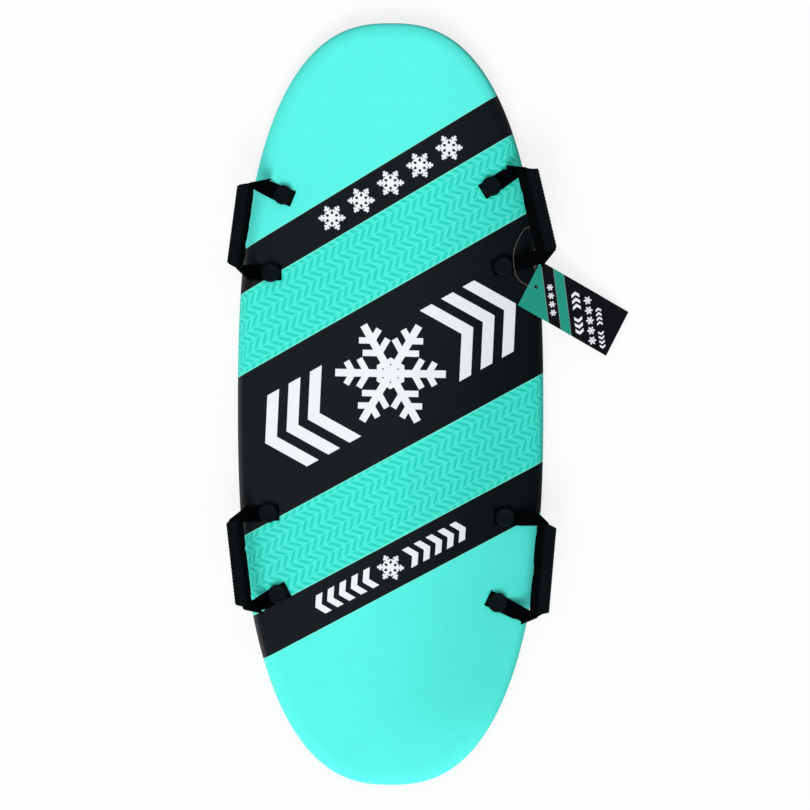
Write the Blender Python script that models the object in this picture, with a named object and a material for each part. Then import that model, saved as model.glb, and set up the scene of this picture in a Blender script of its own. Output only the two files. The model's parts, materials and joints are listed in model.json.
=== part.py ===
"""Snow surfer: a foam sledging board with a slick base, four riveted strap handles and a hang tag.

Lengths are in metres. X runs to the right, Y to the front tip and Z up from the
middle of the flat running base.
"""

import math

import bmesh
import bpy
from mathutils import Matrix, Vector

# Clearances
FIT_GAP = 0.0003
CUT_OVERRUN = 0.002
MERGE_DISTANCE = 0.00001
SHARP_ANGLE = math.radians(35)

# Board
BOARD_LENGTH = 0.940
BOARD_WIDTH = 0.378
BOARD_THICKNESS = 0.035
OUTLINE_POWER = 2.5
OUTLINE_POINTS = 64
TIP_SCOOP_LENGTH = 0.170
TIP_SCOOP_RISE = 0.015
RAIL_TOP_WIDTH = 0.020
RAIL_LOWER_WIDTH = 0.010
RAIL_WIDEST_SHARE = 0.46
RAIL_SEAM_ANGLE = math.radians(-35)
RAIL_UPPER_STEPS = 5
RAIL_LOWER_STEPS = 2
SLICK_EDGE_STEPS = 3
DECK_SKIN = 0.003
SLICK_SHEET = 0.0012

# Rivets, two to a handle, in from the board's side and away from its middle, each a little off
RIVET_INNER_INSET = 0.0445
RIVET_INNER_Y = 0.151
RIVET_OUTER_INSET = 0.058
RIVET_OUTER_Y = 0.250
RIVET_SHIFT_X = -0.0036
RIVET_SHIFT_Y = 0.013
RIVET_DRIFT = 0.006
RIVET_DRIFT_SHARES = {
    "front_left_outer": (0.38, -0.98),
    "front_left_inner": (0.08, -0.37),
    "front_right_outer": (-0.52, 0.77),
    "front_right_inner": (-0.42, 0.97),
    "rear_left_outer": (-0.63, 0.53),
    "rear_left_inner": (-0.43, 0.65),
    "rear_right_outer": (0.72, -1.20),
    "rear_right_inner": (0, -0.17),
}
RIVET_SEGMENTS = 18
RIVET_HEAD_RADIUS = 0.012
RIVET_HEAD_SHOULDER = 0.002
RIVET_HEAD_HEIGHT = 0.0045
RIVET_HEAD_RIM = 0.0018
RIVET_HEAD_LIP = 0.0005
RIVET_SHANK_RADIUS = 0.004
PLUG_FLANGE_RADIUS = 0.015
PLUG_FLANGE_THICKNESS = 0.002
PLUG_RECESS = 0.0004
PLUG_SOCKET_WALL = 0.0027
PLUG_SOCKET_LENGTH = 0.0176
PLUG_FLOOR = 0.0036

# Strap and its fold line beside each pair of rivets
STRAP_WIDTH = 0.020
STRAP_THICKNESS = 0.0018
STRAP_TAIL = 0.0135
STRAP_OUTER_SKEW = math.radians(19)
STRAP_INNER_SKEW = math.radians(-3)
FOLD_MARGIN = 0.001
CURL_RADIUS = 0.003
CURL_STEPS = 4
BEAD_STEPS = 3
LEG_STEPS = 8
LEG_START_SHARE = 0.35

# Soft roll that turns each leg of the strap back into its grip
ROLL_OUTER_SKEW = math.radians(10)
ROLL_INNER_SKEW = math.radians(-3)
ROLL_RADIUS = 0.0038
ROLL_STEPS = 8
ROLL_SEAT = 0.0045
ROLL_SETTLE = 0.012

# Padded grips
GRIP_REACH = 0.043
GRIP_OFFSET = 0.006
PAD_LENGTH = 0.087
PAD_THICKNESS = 0.0095
PAD_EDGE = 0.0018
SLOT_CLEARANCE = 0.0007
COVER_CLOTH = 0.0012
COVER_LAP = 0.004
COVER_HEM = 0.004
COVER_HEM_SHARE = 0.96
GRIP_RING_POINTS = 20
GRIP_OVAL_POWER = 2.4
SLOT_OVAL_POWER = 4.0
LEFT_HANDLE_LIFT = math.radians(46)
RIGHT_HANDLE_LIFT = math.radians(26)

# Hang tag, its loop and the loop's lock, placed from the rivet beside them
TAG_LENGTH = 0.130
TAG_WIDTH = 0.062
TAG_THICKNESS = 0.0006
TAG_HOLE_RADIUS = 0.00225
TAG_HOLE_INSET = 0.010
TAG_HOLE_SEGMENTS = 16
TAG_HEADING = math.radians(-28.3)
TAG_FLOOR_GAP = 0.0005
TAG_HOLE_PLACE = (0.0408, -0.0259)
LOOP_RADIUS = 0.0005
LOOP_STEP = 0.0025
LOOP_FINE_STEPS = 24
LOOP_BEVEL_STEPS = 2
LOCK_PLACE = (0.0391, 0.0022, -0.0035)
LOCK_LENGTH = 0.009
LOCK_RADIUS = 0.0016
LOCK_NECK = 0.0006
LOCK_SEGMENTS = 12
LOOP_ROUTE = [
    (0.0396, -0.0068, -0.0041),
    (0.0402, -0.0128, -0.0042),
    (0.0412, -0.0193, -0.0039),
    (0.0419, -0.0242, -0.0029),
    (0.0415, -0.0264, -0.0010),
    (0.0392, -0.0274, 0.0010),
    (0.0346, -0.0266, 0.0029),
    (0.0281, -0.0232, 0.0042),
    (0.0216, -0.0190, 0.0046),
    (0.0168, -0.0132, 0.0043),
    (0.0143, -0.0066, 0.0039),
    (0.0133, 0.0000, 0.0037),
    (0.0128, 0.0066, 0.0038),
    (0.0127, 0.0135, 0.0033),
    (0.0149, 0.0232, 0.0016),
    (0.0196, 0.0342, 0.0010),
    (0.0256, 0.0442, 0.0008),
    (0.0316, 0.0477, -0.0002),
    (0.0362, 0.0427, -0.0020),
    (0.0384, 0.0332, -0.0034),
    (0.0392, 0.0232, -0.0038),
    (0.0392, 0.0142, -0.0037),
]

# Colours as display values from 0 to 255, with roughness
FINISHES = {
    "deck_foam": ((86, 240, 228), 0.55),
    "core_foam": ((236, 238, 238), 0.85),
    "slick": ((24, 27, 30), 0.28),
    "rivet": ((15, 21, 24), 0.42),
    "webbing": ((9, 11, 13), 0.78),
    "grip_foam": ((30, 32, 34), 0.90),
    "grip_cloth": ((14, 18, 21), 0.70),
    "tag_card": ((35, 148, 131), 0.45),
    "loop_nylon": ((206, 202, 198), 0.35),
}

# Sizes that follow from the ones above
HALF_LENGTH = BOARD_LENGTH / 2
HALF_WIDTH = BOARD_WIDTH / 2
STRAP_MIDDLE = BOARD_THICKNESS + FIT_GAP + STRAP_THICKNESS / 2
STRAP_TOP = BOARD_THICKNESS + FIT_GAP + STRAP_THICKNESS
HEAD_BOTTOM = STRAP_TOP + FIT_GAP
FLANGE_TOP = PLUG_RECESS + PLUG_FLANGE_THICKNESS
SHANK_FOOT = FLANGE_TOP + PLUG_FLOOR
SOCKET_TOP = FLANGE_TOP + PLUG_SOCKET_LENGTH
SOCKET_BORE = RIVET_SHANK_RADIUS + FIT_GAP
SOCKET_RADIUS = SOCKET_BORE + PLUG_SOCKET_WALL
FOLD_OUT = RIVET_HEAD_RADIUS + FOLD_MARGIN + CURL_RADIUS
FOLD_HEIGHT = STRAP_MIDDLE + CURL_RADIUS
CURL_ANGLE = math.acos((STRAP_THICKNESS / 2 + FIT_GAP) / CURL_RADIUS)
COVER_LENGTH = PAD_LENGTH + 2 * COVER_LAP
STRAP_SKEWS = {"outer": STRAP_OUTER_SKEW, "inner": STRAP_INNER_SKEW}
ROLL_SKEWS = {"outer": ROLL_OUTER_SKEW, "inner": ROLL_INNER_SKEW}
HANDLE_LIFTS = {1: RIGHT_HANDLE_LIFT, -1: LEFT_HANDLE_LIFT}
SIDES = {"left": -1, "right": 1}
ENDS = {"front": 1, "rear": -1}

materials = {}


def clear_scene():
    for thing in list(bpy.data.objects):
        bpy.data.objects.remove(thing, do_unlink=True)


def linear(display_value):
    """Turn a display colour value from 0 to 255 into the shader's linear value."""
    value = display_value / 255
    return value / 12.92 if value <= 0.04045 else ((value + 0.055) / 1.055) ** 2.4


def finish(name):
    """Return the material of one finish, made on first use."""
    if name not in materials:
        colour, roughness = FINISHES[name]
        material = bpy.data.materials.new(name)
        material.use_nodes = True
        shader = material.node_tree.nodes["Principled BSDF"]
        shader.inputs["Base Color"].default_value = [linear(value) for value in colour] + [1]
        shader.inputs["Roughness"].default_value = roughness
        shader.inputs["Metallic"].default_value = 0
        materials[name] = material
    return materials[name]


def signed_power(value, power):
    return math.copysign(abs(value) ** power, value)


def smooth_share(value):
    """Ease a share from 0 to 1, level at both ends."""
    share = min(max(value, 0), 1)
    return share * share * (3 - 2 * share)


def add_part(name, mesh, finish_name, matrix=None, parent=None):
    """Put a mesh in the scene as one named piece."""
    mesh.materials.append(finish(finish_name))
    mesh.shade_smooth()
    mesh.set_sharp_from_angle(angle=SHARP_ANGLE)
    part = bpy.data.objects.new(name, mesh)
    bpy.context.scene.collection.objects.link(part)
    if parent:
        part.parent = parent
    if matrix:
        part.matrix_local = matrix
    return part


def add_pivot(name, matrix):
    """Put an empty on a joint's axis, to carry the pieces that turn about it."""
    pivot = bpy.data.objects.new(name, None)
    bpy.context.scene.collection.objects.link(pivot)
    pivot.matrix_local = matrix
    return pivot


def fill_ring(bm, ring):
    bm.faces.new(ring)


def fill_rows(bm, ring):
    """Close a board outline with rows from its left edge to its right edge."""
    count = len(ring)
    for row in range(count // 2):
        corners = [ring[row], ring[row + 1], ring[(-row - 1) % count], ring[-row % count]]
        bm.faces.new(list(dict.fromkeys(corners)))


def loft(name, rings, fill=fill_ring, tube=False):
    """Skin a row of rings of points, with filled ends or joined round as a hollow tube."""
    bm = bmesh.new()
    loops = [[bm.verts.new(point) for point in ring] for ring in rings]
    pairs = list(zip(loops, loops[1:]))
    if tube:
        pairs.append((loops[-1], loops[0]))
    else:
        fill(bm, loops[0])
        fill(bm, loops[-1])
    count = len(loops[0])
    for first, second in pairs:
        for index in range(count):
            following = (index + 1) % count
            bm.faces.new([first[index], first[following], second[following], second[index]])
    bmesh.ops.recalc_face_normals(bm, faces=bm.faces)
    mesh = bpy.data.meshes.new(name)
    bm.to_mesh(mesh)
    bm.free()
    return mesh


def turned(name, profile, segments, places):
    """Spin a profile of radius and height about an upright axis, once at each place."""
    bm = bmesh.new()
    for place in places:
        points = [bm.verts.new(place + Vector((radius, 0, height))) for radius, height in profile]
        edges = [bm.edges.new(pair) for pair in zip(points, points[1:])]
        bmesh.ops.spin(
            bm, geom=points + edges, cent=place, axis=Vector((0, 0, 1)),
            angle=math.tau, steps=segments, use_duplicate=False,
        )
    bmesh.ops.remove_doubles(bm, verts=bm.verts, dist=MERGE_DISTANCE)
    bmesh.ops.recalc_face_normals(bm, faces=bm.faces)
    mesh = bpy.data.meshes.new(name)
    bm.to_mesh(mesh)
    bm.free()
    return mesh


def add_cutter(name, mesh, matrix=None, parent=None):
    cutter = bpy.data.objects.new(name, mesh)
    bpy.context.scene.collection.objects.link(cutter)
    if parent:
        cutter.parent = parent
    if matrix:
        cutter.matrix_local = matrix
    cutter.hide_render = True
    cutter.display_type = "WIRE"
    return cutter


def cut(part, cutter):
    modifier = part.modifiers.new("holes", "BOOLEAN")
    modifier.operation = "DIFFERENCE"
    modifier.object = cutter


# The board's layers


def base_height(y):
    """Height of the running base, which scoops up towards both tips."""
    share = max(0, (abs(y) - HALF_LENGTH + TIP_SCOOP_LENGTH) / TIP_SCOOP_LENGTH)
    return TIP_SCOOP_RISE * share * share


def rail_point(angle, depth):
    """Inset, share of thickness and height offset of the rail at an angle and depth under it."""
    lift = math.sin(angle)
    width = RAIL_TOP_WIDTH if angle > 0 else RAIL_LOWER_WIDTH
    height_share = 1 - RAIL_WIDEST_SHARE if angle > 0 else RAIL_WIDEST_SHARE
    inset = width - (width - depth) * math.cos(angle)
    return inset, RAIL_WIDEST_SHARE + height_share * lift, -depth * lift


def board_ring(inset, height_share, offset):
    """One ring round the board at an inset from its outline."""
    ring = []
    for index in range(OUTLINE_POINTS):
        turn = math.tau * index / OUTLINE_POINTS
        across = signed_power(math.sin(turn), 2 / OUTLINE_POWER)
        ahead = signed_power(math.cos(turn), 2 / OUTLINE_POWER)
        outward = Vector((
            signed_power(across, OUTLINE_POWER - 1) / HALF_WIDTH,
            signed_power(ahead, OUTLINE_POWER - 1) / HALF_LENGTH,
        )).normalized()
        x = HALF_WIDTH * across - inset * outward.x
        y = HALF_LENGTH * ahead - inset * outward.y
        floor = base_height(y)
        ring.append(Vector((x, y, floor + height_share * (BOARD_THICKNESS - floor) + offset)))
    return ring


def angles_between(first, last, steps):
    return [first + (last - first) * step / steps for step in range(steps + 1)]


def board_layer(name, path, finish_name, holes):
    rings = [board_ring(*rail_point(angle, depth)) for angle, depth in path]
    layer = add_part(name, loft(name, rings, fill=fill_rows), finish_name)
    cut(layer, holes)
    return layer


def make_board(holes):
    top = math.radians(90)
    seam = RAIL_SEAM_ANGLE
    under_seam = seam - FIT_GAP / (RAIL_LOWER_WIDTH - DECK_SKIN)
    upper = angles_between(top, 0, RAIL_UPPER_STEPS)
    skin_angles = upper + angles_between(0, seam, RAIL_LOWER_STEPS)[1:]
    core_angles = upper + angles_between(0, under_seam, RAIL_LOWER_STEPS)[1:]
    slick_angles = angles_between(under_seam, -top, SLICK_EDGE_STEPS)
    skin_inside = [(angle, DECK_SKIN) for angle in reversed(skin_angles)]
    slick_inside = [(angle, SLICK_SHEET) for angle in reversed(slick_angles)]
    core_upper = [(angle, DECK_SKIN + FIT_GAP) for angle in core_angles]
    core_lower = [(angle, SLICK_SHEET + FIT_GAP) for angle in slick_angles]
    deck_path = [(angle, 0) for angle in skin_angles] + skin_inside
    slick_path = slick_inside + [(angle, 0) for angle in slick_angles]
    board_layer("deck_skin", deck_path, "deck_foam", holes)
    board_layer("foam_core", core_upper + core_lower, "core_foam", holes)
    board_layer("bottom_slick", slick_path, "slick", holes)


# Rivets


def rivet_place(name):
    """Where one rivet goes through the board, by the name of its end, side and row."""
    end_name, side_name, row = name.split("_")
    inset = {"inner": RIVET_INNER_INSET, "outer": RIVET_OUTER_INSET}[row]
    ahead = {"inner": RIVET_INNER_Y, "outer": RIVET_OUTER_Y}[row]
    drift_x, drift_y = RIVET_DRIFT_SHARES[name]
    x = SIDES[side_name] * (HALF_WIDTH - inset) + RIVET_SHIFT_X + RIVET_DRIFT * drift_x
    y = ENDS[end_name] * ahead + RIVET_SHIFT_Y + RIVET_DRIFT * drift_y
    return Vector((x, y, 0))


def make_rivet_holes():
    """The stepped holes for all rivets, through the slick, the foam, the skin and the straps."""
    profile = [
        (0, -CUT_OVERRUN),
        (PLUG_FLANGE_RADIUS + FIT_GAP, -CUT_OVERRUN),
        (PLUG_FLANGE_RADIUS + FIT_GAP, FLANGE_TOP + FIT_GAP),
        (SOCKET_RADIUS + FIT_GAP, FLANGE_TOP + FIT_GAP),
        (SOCKET_RADIUS + FIT_GAP, SOCKET_TOP + FIT_GAP),
        (SOCKET_BORE, SOCKET_TOP + FIT_GAP),
        (SOCKET_BORE, STRAP_TOP + CUT_OVERRUN),
        (0, STRAP_TOP + CUT_OVERRUN),
    ]
    places = [rivet_place(name) for name in RIVET_DRIFT_SHARES]
    return add_cutter("rivet_holes", turned("rivet_holes", profile, RIVET_SEGMENTS, places))


def make_rivets():
    rim_top = HEAD_BOTTOM + RIVET_HEAD_RIM
    head_top = HEAD_BOTTOM + RIVET_HEAD_HEIGHT
    cap_profile = [
        (0, SHANK_FOOT),
        (RIVET_SHANK_RADIUS, SHANK_FOOT),
        (RIVET_SHANK_RADIUS, HEAD_BOTTOM),
        (RIVET_HEAD_RADIUS - RIVET_HEAD_LIP, HEAD_BOTTOM),
        (RIVET_HEAD_RADIUS, HEAD_BOTTOM + RIVET_HEAD_LIP),
        (RIVET_HEAD_RADIUS, rim_top),
        (RIVET_HEAD_RADIUS - RIVET_HEAD_SHOULDER, head_top),
        (0, head_top),
    ]
    plug_profile = [
        (0, PLUG_RECESS),
        (PLUG_FLANGE_RADIUS, PLUG_RECESS),
        (PLUG_FLANGE_RADIUS, FLANGE_TOP),
        (SOCKET_RADIUS, FLANGE_TOP),
        (SOCKET_RADIUS, SOCKET_TOP),
        (SOCKET_BORE, SOCKET_TOP),
        (SOCKET_BORE, SHANK_FOOT - FIT_GAP),
        (0, SHANK_FOOT - FIT_GAP),
    ]
    centre = [Vector((0, 0, 0))]
    cap = turned("rivet_cap", cap_profile, RIVET_SEGMENTS, centre)
    plug = turned("rivet_plug", plug_profile, RIVET_SEGMENTS, centre)
    for name in RIVET_DRIFT_SHARES:
        matrix = Matrix.Translation(rivet_place(name))
        add_part(f"rivet_cap_{name}", cap.copy(), "rivet", matrix)
        add_part(f"rivet_plug_{name}", plug.copy(), "rivet", matrix)


# Strap handles


class HandleFrame:
    """Directions of one handle: out from its rivets, and along them towards the tip."""

    def __init__(self, end_name, side_name):
        side = SIDES[side_name]
        inner = rivet_place(f"{end_name}_{side_name}_inner")
        outer = rivet_place(f"{end_name}_{side_name}_outer")
        along = (outer - inner).normalized()
        self.hand = side * ENDS[end_name]
        self.out = Vector((along.y, -along.x, 0)) * self.hand
        self.half_spacing = (outer - inner).length / 2
        turn = Matrix((self.out, along * self.hand, Vector((0, 0, 1)))).transposed().to_4x4()
        middle = (inner + outer) / 2 + self.out * FOLD_OUT + Vector((0, 0, FOLD_HEIGHT))
        self.tab_matrices = {
            "inner": Matrix.Translation(inner) @ turn,
            "outer": Matrix.Translation(outer) @ turn,
        }
        lift = Matrix.Rotation(-HANDLE_LIFTS[side], 4, "Y")
        self.pivot_matrix = Matrix.Translation(middle) @ turn @ lift


def ribbon_ring(centre, half_width, half_thickness):
    """Corners of a strap's cross-section."""
    return [
        centre + half_width + half_thickness,
        centre - half_width + half_thickness,
        centre - half_width - half_thickness,
        centre + half_width - half_thickness,
    ]


def tab_mesh(name, skew, hand):
    """The strap's riveted end: flat under the rivet head, then curled up to the fold line."""
    half = STRAP_WIDTH / 2
    heading = Vector((math.cos(skew), hand * math.sin(skew), 0))
    square = Vector((-heading.y, heading.x, 0)) * half
    along_fold = Vector((0, half / math.cos(skew), 0))
    upright = Vector((0, 0, STRAP_THICKNESS / 2))
    rings = [ribbon_ring(Vector((0, 0, STRAP_MIDDLE)) - heading * STRAP_TAIL, square, upright)]
    for angle in angles_between(0, CURL_ANGLE, CURL_STEPS):
        out = FOLD_OUT - CURL_RADIUS + CURL_RADIUS * math.sin(angle)
        height = STRAP_MIDDLE + CURL_RADIUS * (1 - math.cos(angle))
        centre = Vector((out, hand * out * math.tan(skew), height))
        across = Vector((-math.sin(angle), 0, math.cos(angle))) * (STRAP_THICKNESS / 2)
        rings.append(ribbon_ring(centre, along_fold, across))
    return loft(name, rings)


def bezier_point(points, share):
    """Point and direction on a four-point curve."""
    rest = 1 - share
    first, second, third, last = points
    point = rest ** 3 * first + 3 * rest ** 2 * share * second
    point += 3 * rest * share ** 2 * third + share ** 3 * last
    direction = rest ** 2 * (second - first) + 2 * rest * share * (third - second)
    direction += share ** 2 * (last - third)
    return point, direction.normalized()


def leg_rings(start, skew, roll_skew, grip_end):
    """Rings of a strap leg, from its round bead on the fold line to inside the grip's end.

    The leg lies flat, full width, as far as a slanted line where it rolls softly over
    on itself, so that it comes out above and runs back along the grip.
    """
    half = STRAP_WIDTH / 2
    bead = STRAP_THICKNESS / 2
    up = Vector((0, 0, 1))
    back = Vector((0, -1, 0))
    slope = Vector((1, math.tan(skew), 0))
    heading = Vector((math.cos(roll_skew), math.sin(roll_skew), 0))
    line = (heading + back).normalized()
    onward = (heading - line * heading.dot(line)).normalized()
    slant = heading.dot(line) / heading.dot(onward)
    travel = line * (math.pi * ROLL_RADIUS * slant)
    crease = line * (half / heading.dot(onward))
    first = Vector((0, start, 0))
    last = Vector((GRIP_REACH, grip_end + ROLL_SEAT, 0)) - travel
    pull = last.x * LEG_START_SHARE
    points = [first, first + slope * pull, last - heading * pull, last]
    rings = []
    for step in range(1, BEAD_STEPS + 1):
        angle = math.radians(90) * step / (BEAD_STEPS + 1)
        centre = first - slope * bead * math.cos(angle)
        width = Vector((0, -half / math.cos(skew), 0))
        rings.append(ribbon_ring(centre, width, -up * bead * math.sin(angle)))
    for step in range(LEG_STEPS + 1):
        centre, direction = bezier_point(points, step / LEG_STEPS)
        share = smooth_share(step / LEG_STEPS)
        shear = slant * share - math.tan(skew) * (1 - share)
        width = Vector((direction.y, -direction.x, 0)) + direction * shear
        rings.append(ribbon_ring(centre, width * half, -up * bead))
    for angle in angles_between(0, math.pi, ROLL_STEPS)[1:]:
        rise = onward * math.sin(angle) + up * (1 - math.cos(angle))
        centre = last + travel * angle / math.pi + rise * ROLL_RADIUS
        rings.append(ribbon_ring(centre, crease, (rise - up) * bead))
    settled = last + travel + up * 2 * ROLL_RADIUS + back * ROLL_SETTLE
    rings.append(ribbon_ring(settled, Vector((half, 0, 0)), up * bead))
    return rings


def webbing_mesh(name, frame):
    """The strap of one handle from fold line to fold line, through its grip."""
    grip_half = COVER_LENGTH / 2
    legs = {}
    for row, mirror in (("outer", 1), ("inner", -1)):
        skew = mirror * STRAP_SKEWS[row]
        start = frame.half_spacing + FOLD_OUT * math.tan(skew)
        grip_end = grip_half + mirror * GRIP_OFFSET
        legs[row] = leg_rings(start, skew, mirror * ROLL_SKEWS[row], grip_end)
    rings = [mirrored(ring, frame.hand) for ring in legs["outer"]]
    rings += [mirrored(ring, -frame.hand) for ring in reversed(legs["inner"])]
    return loft(name, rings)


def mirrored(ring, sign):
    """Flip a ring across the handle's middle when the sign is negative."""
    return [Vector((point.x, sign * point.y, point.z)) for point in ring]


def oval_ring(half_thickness, half_width, power, along):
    """Oval round the strap where it runs through the grip."""
    ring = []
    for index in range(GRIP_RING_POINTS):
        turn = math.tau * index / GRIP_RING_POINTS
        x = GRIP_REACH + half_width * signed_power(math.cos(turn), 2 / power)
        z = 2 * ROLL_RADIUS + half_thickness * signed_power(math.sin(turn), 2 / power)
        ring.append(Vector((x, along, z)))
    return ring


def pad_mesh(name, hand):
    """Foam sleeve with a slot for the strap."""
    half_thickness = PAD_THICKNESS / 2
    half_width = STRAP_WIDTH / 2 + PAD_EDGE
    slot_thickness = STRAP_THICKNESS / 2 + SLOT_CLEARANCE
    slot_width = STRAP_WIDTH / 2 + SLOT_CLEARANCE
    middle = hand * GRIP_OFFSET
    ends = (middle - PAD_LENGTH / 2, middle + PAD_LENGTH / 2)
    outside = [oval_ring(half_thickness, half_width, GRIP_OVAL_POWER, along) for along in ends]
    inside = [oval_ring(slot_thickness, slot_width, SLOT_OVAL_POWER, along) for along in ends]
    return loft(name, outside + inside[::-1], tube=True)


def cover_mesh(name, hand):
    """Cloth sleeve round the foam, drawn in a little at its hems."""
    inner_thickness = PAD_THICKNESS / 2 + FIT_GAP
    inner_width = STRAP_WIDTH / 2 + PAD_EDGE + FIT_GAP
    outer_thickness = inner_thickness + COVER_CLOTH
    outer_width = inner_width + COVER_CLOTH
    half = COVER_LENGTH / 2
    middle = hand * GRIP_OFFSET
    stations = [
        (-half, COVER_HEM_SHARE),
        (COVER_HEM - half, 1),
        (half - COVER_HEM, 1),
        (half, COVER_HEM_SHARE),
    ]
    rings = [
        oval_ring(outer_thickness * share, outer_width * share, GRIP_OVAL_POWER, middle + along)
        for along, share in stations
    ]
    for along in (half, -half):
        rings.append(oval_ring(inner_thickness, inner_width, GRIP_OVAL_POWER, middle + along))
    return loft(name, rings, tube=True)


def make_handles(holes):
    for end_name in ENDS:
        for side_name in SIDES:
            name = f"{end_name}_{side_name}"
            frame = HandleFrame(end_name, side_name)
            for row, matrix in frame.tab_matrices.items():
                tab_name = f"strap_tab_{name}_{row}"
                mesh = tab_mesh(tab_name, STRAP_SKEWS[row], frame.hand)
                cut(add_part(tab_name, mesh, "webbing", matrix), holes)
            pivot = add_pivot(f"fold_line_{name}", frame.pivot_matrix)
            webbing = webbing_mesh(f"webbing_{name}", frame)
            add_part(f"webbing_{name}", webbing, "webbing", parent=pivot)
            pad = pad_mesh(f"grip_pad_{name}", frame.hand)
            add_part(f"grip_pad_{name}", pad, "grip_foam", parent=pivot)
            cover = cover_mesh(f"grip_cover_{name}", frame.hand)
            add_part(f"grip_cover_{name}", cover, "grip_cloth", parent=pivot)


# Hang tag


def tag_anchor():
    """The deck beside the front right inner rivet, which the loop goes round."""
    return rivet_place("front_right_inner") + Vector((0, 0, BOARD_THICKNESS))


def tag_slope():
    """Steepness of a card that lies on the rounded rail with its far corner near the ground."""
    clearance = TAG_THICKNESS / 2 + FIT_GAP
    rail_width = RAIL_TOP_WIDTH + clearance
    rail_height = BOARD_THICKNESS * (1 - RAIL_WIDEST_SHARE) + clearance
    run = tag_far_reach() - (HALF_WIDTH - RAIL_TOP_WIDTH)
    drop = TAG_THICKNESS / 2 + TAG_FLOOR_GAP - BOARD_THICKNESS * RAIL_WIDEST_SHARE
    square = run ** 2 - rail_width ** 2
    root = math.sqrt((drop * run) ** 2 - square * (drop ** 2 - rail_height ** 2))
    return (root - drop * run) / square


def tag_far_reach():
    """How far out the card's lowest corner would lie if the card were level."""
    length = TAG_LENGTH - TAG_HOLE_INSET
    reach = length * math.cos(TAG_HEADING) - TAG_WIDTH / 2 * math.sin(TAG_HEADING)
    return tag_anchor().x + TAG_HOLE_PLACE[0] + reach


def tag_matrix():
    """Place of the card's hole, with the card's length, width and face as axes."""
    slope = tag_slope()
    anchor = tag_anchor()
    x = anchor.x + TAG_HOLE_PLACE[0]
    y = anchor.y + TAG_HOLE_PLACE[1]
    z = TAG_THICKNESS / 2 + TAG_FLOOR_GAP + slope * (tag_far_reach() - x)
    tilt = Matrix.Rotation(math.atan(slope), 4, "Y")
    return Matrix.Translation((x, y, z)) @ tilt @ Matrix.Rotation(TAG_HEADING, 4, "Z")


def make_tag():
    pivot = add_pivot("tag_hole", tag_matrix())
    near = -TAG_HOLE_INSET
    far = TAG_LENGTH - TAG_HOLE_INSET
    half = TAG_WIDTH / 2
    rings = [
        [Vector((x, y, height)) for x, y in ((near, -half), (far, -half), (far, half), (near, half))]
        for height in (-TAG_THICKNESS / 2, TAG_THICKNESS / 2)
    ]
    card = add_part("hang_tag", loft("hang_tag", rings), "tag_card", parent=pivot)
    profile = [
        (0, -CUT_OVERRUN),
        (TAG_HOLE_RADIUS, -CUT_OVERRUN),
        (TAG_HOLE_RADIUS, CUT_OVERRUN),
        (0, CUT_OVERRUN),
    ]
    hole = turned("tag_hole_cutter", profile, TAG_HOLE_SEGMENTS, [Vector((0, 0, 0))])
    cut(card, add_cutter("tag_hole_cutter", hole, parent=pivot))


def smooth_route(points, steps):
    """Points close together on a smooth curve through a route's own points."""
    padded = [2 * points[0] - points[1], *points, 2 * points[-1] - points[-2]]
    fine = []
    for before, start, end, after in zip(padded, padded[1:], padded[2:], padded[3:]):
        for step in range(steps):
            share = step / steps
            fine.append(
                (
                    2 * start
                    + (end - before) * share
                    + (2 * before - 5 * start + 4 * end - after) * share ** 2
                    + (3 * start - before - 3 * end + after) * share ** 3
                )
                / 2
            )
    return fine + [points[-1]]


def evenly_spaced(points, spacing):
    """Walk along a fine curve and keep points that are the same distance apart."""
    lengths = [(end - start).length for start, end in zip(points, points[1:])]
    count = max(2, round(sum(lengths) / spacing))
    step = sum(lengths) / count
    kept = [points[0]]
    travelled = 0
    for start, end, length in zip(points, points[1:], lengths):
        while len(kept) < count and travelled + length >= step * len(kept):
            share = (step * len(kept) - travelled) / length
            kept.append(start.lerp(end, share))
        travelled += length
    return kept + [points[-1]]


def make_loop():
    """Thin nylon loop from the lock, up through the tag, over the strap and back to the lock."""
    anchor = tag_anchor()
    lock = anchor + Vector(LOCK_PLACE)
    reach = Vector((0, LOCK_LENGTH / 2 + FIT_GAP, 0))
    route = [lock - reach, *[anchor + Vector(point) for point in LOOP_ROUTE], lock + reach]
    points = evenly_spaced(smooth_route(route, LOOP_FINE_STEPS), LOOP_STEP)
    curve = bpy.data.curves.new("tag_loop", "CURVE")
    curve.dimensions = "3D"
    curve.bevel_depth = LOOP_RADIUS
    curve.bevel_resolution = LOOP_BEVEL_STEPS
    curve.use_fill_caps = True
    spline = curve.splines.new("POLY")
    spline.points.add(len(points) - 1)
    for spline_point, point in zip(spline.points, points):
        spline_point.co = (*point, 1)
    curve.materials.append(finish("loop_nylon"))
    loop = bpy.data.objects.new("tag_loop", curve)
    bpy.context.scene.collection.objects.link(loop)
    profile = [
        (0, -LOCK_LENGTH / 2),
        (LOCK_RADIUS - LOCK_NECK, -LOCK_LENGTH / 2),
        (LOCK_RADIUS, LOCK_NECK - LOCK_LENGTH / 2),
        (LOCK_RADIUS, LOCK_LENGTH / 2 - LOCK_NECK),
        (LOCK_RADIUS - LOCK_NECK, LOCK_LENGTH / 2),
        (0, LOCK_LENGTH / 2),
    ]
    barrel = turned("tag_loop_lock", profile, LOCK_SEGMENTS, [Vector((0, 0, 0))])
    upright = Matrix.Translation(lock) @ Matrix.Rotation(math.radians(-90), 4, "X")
    add_part("tag_loop_lock", barrel, "loop_nylon", upright)


def main():
    clear_scene()
    holes = make_rivet_holes()
    make_board(holes)
    make_rivets()
    make_handles(holes)
    make_tag()
    make_loop()


if __name__ == "__main__":
    main()
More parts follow.
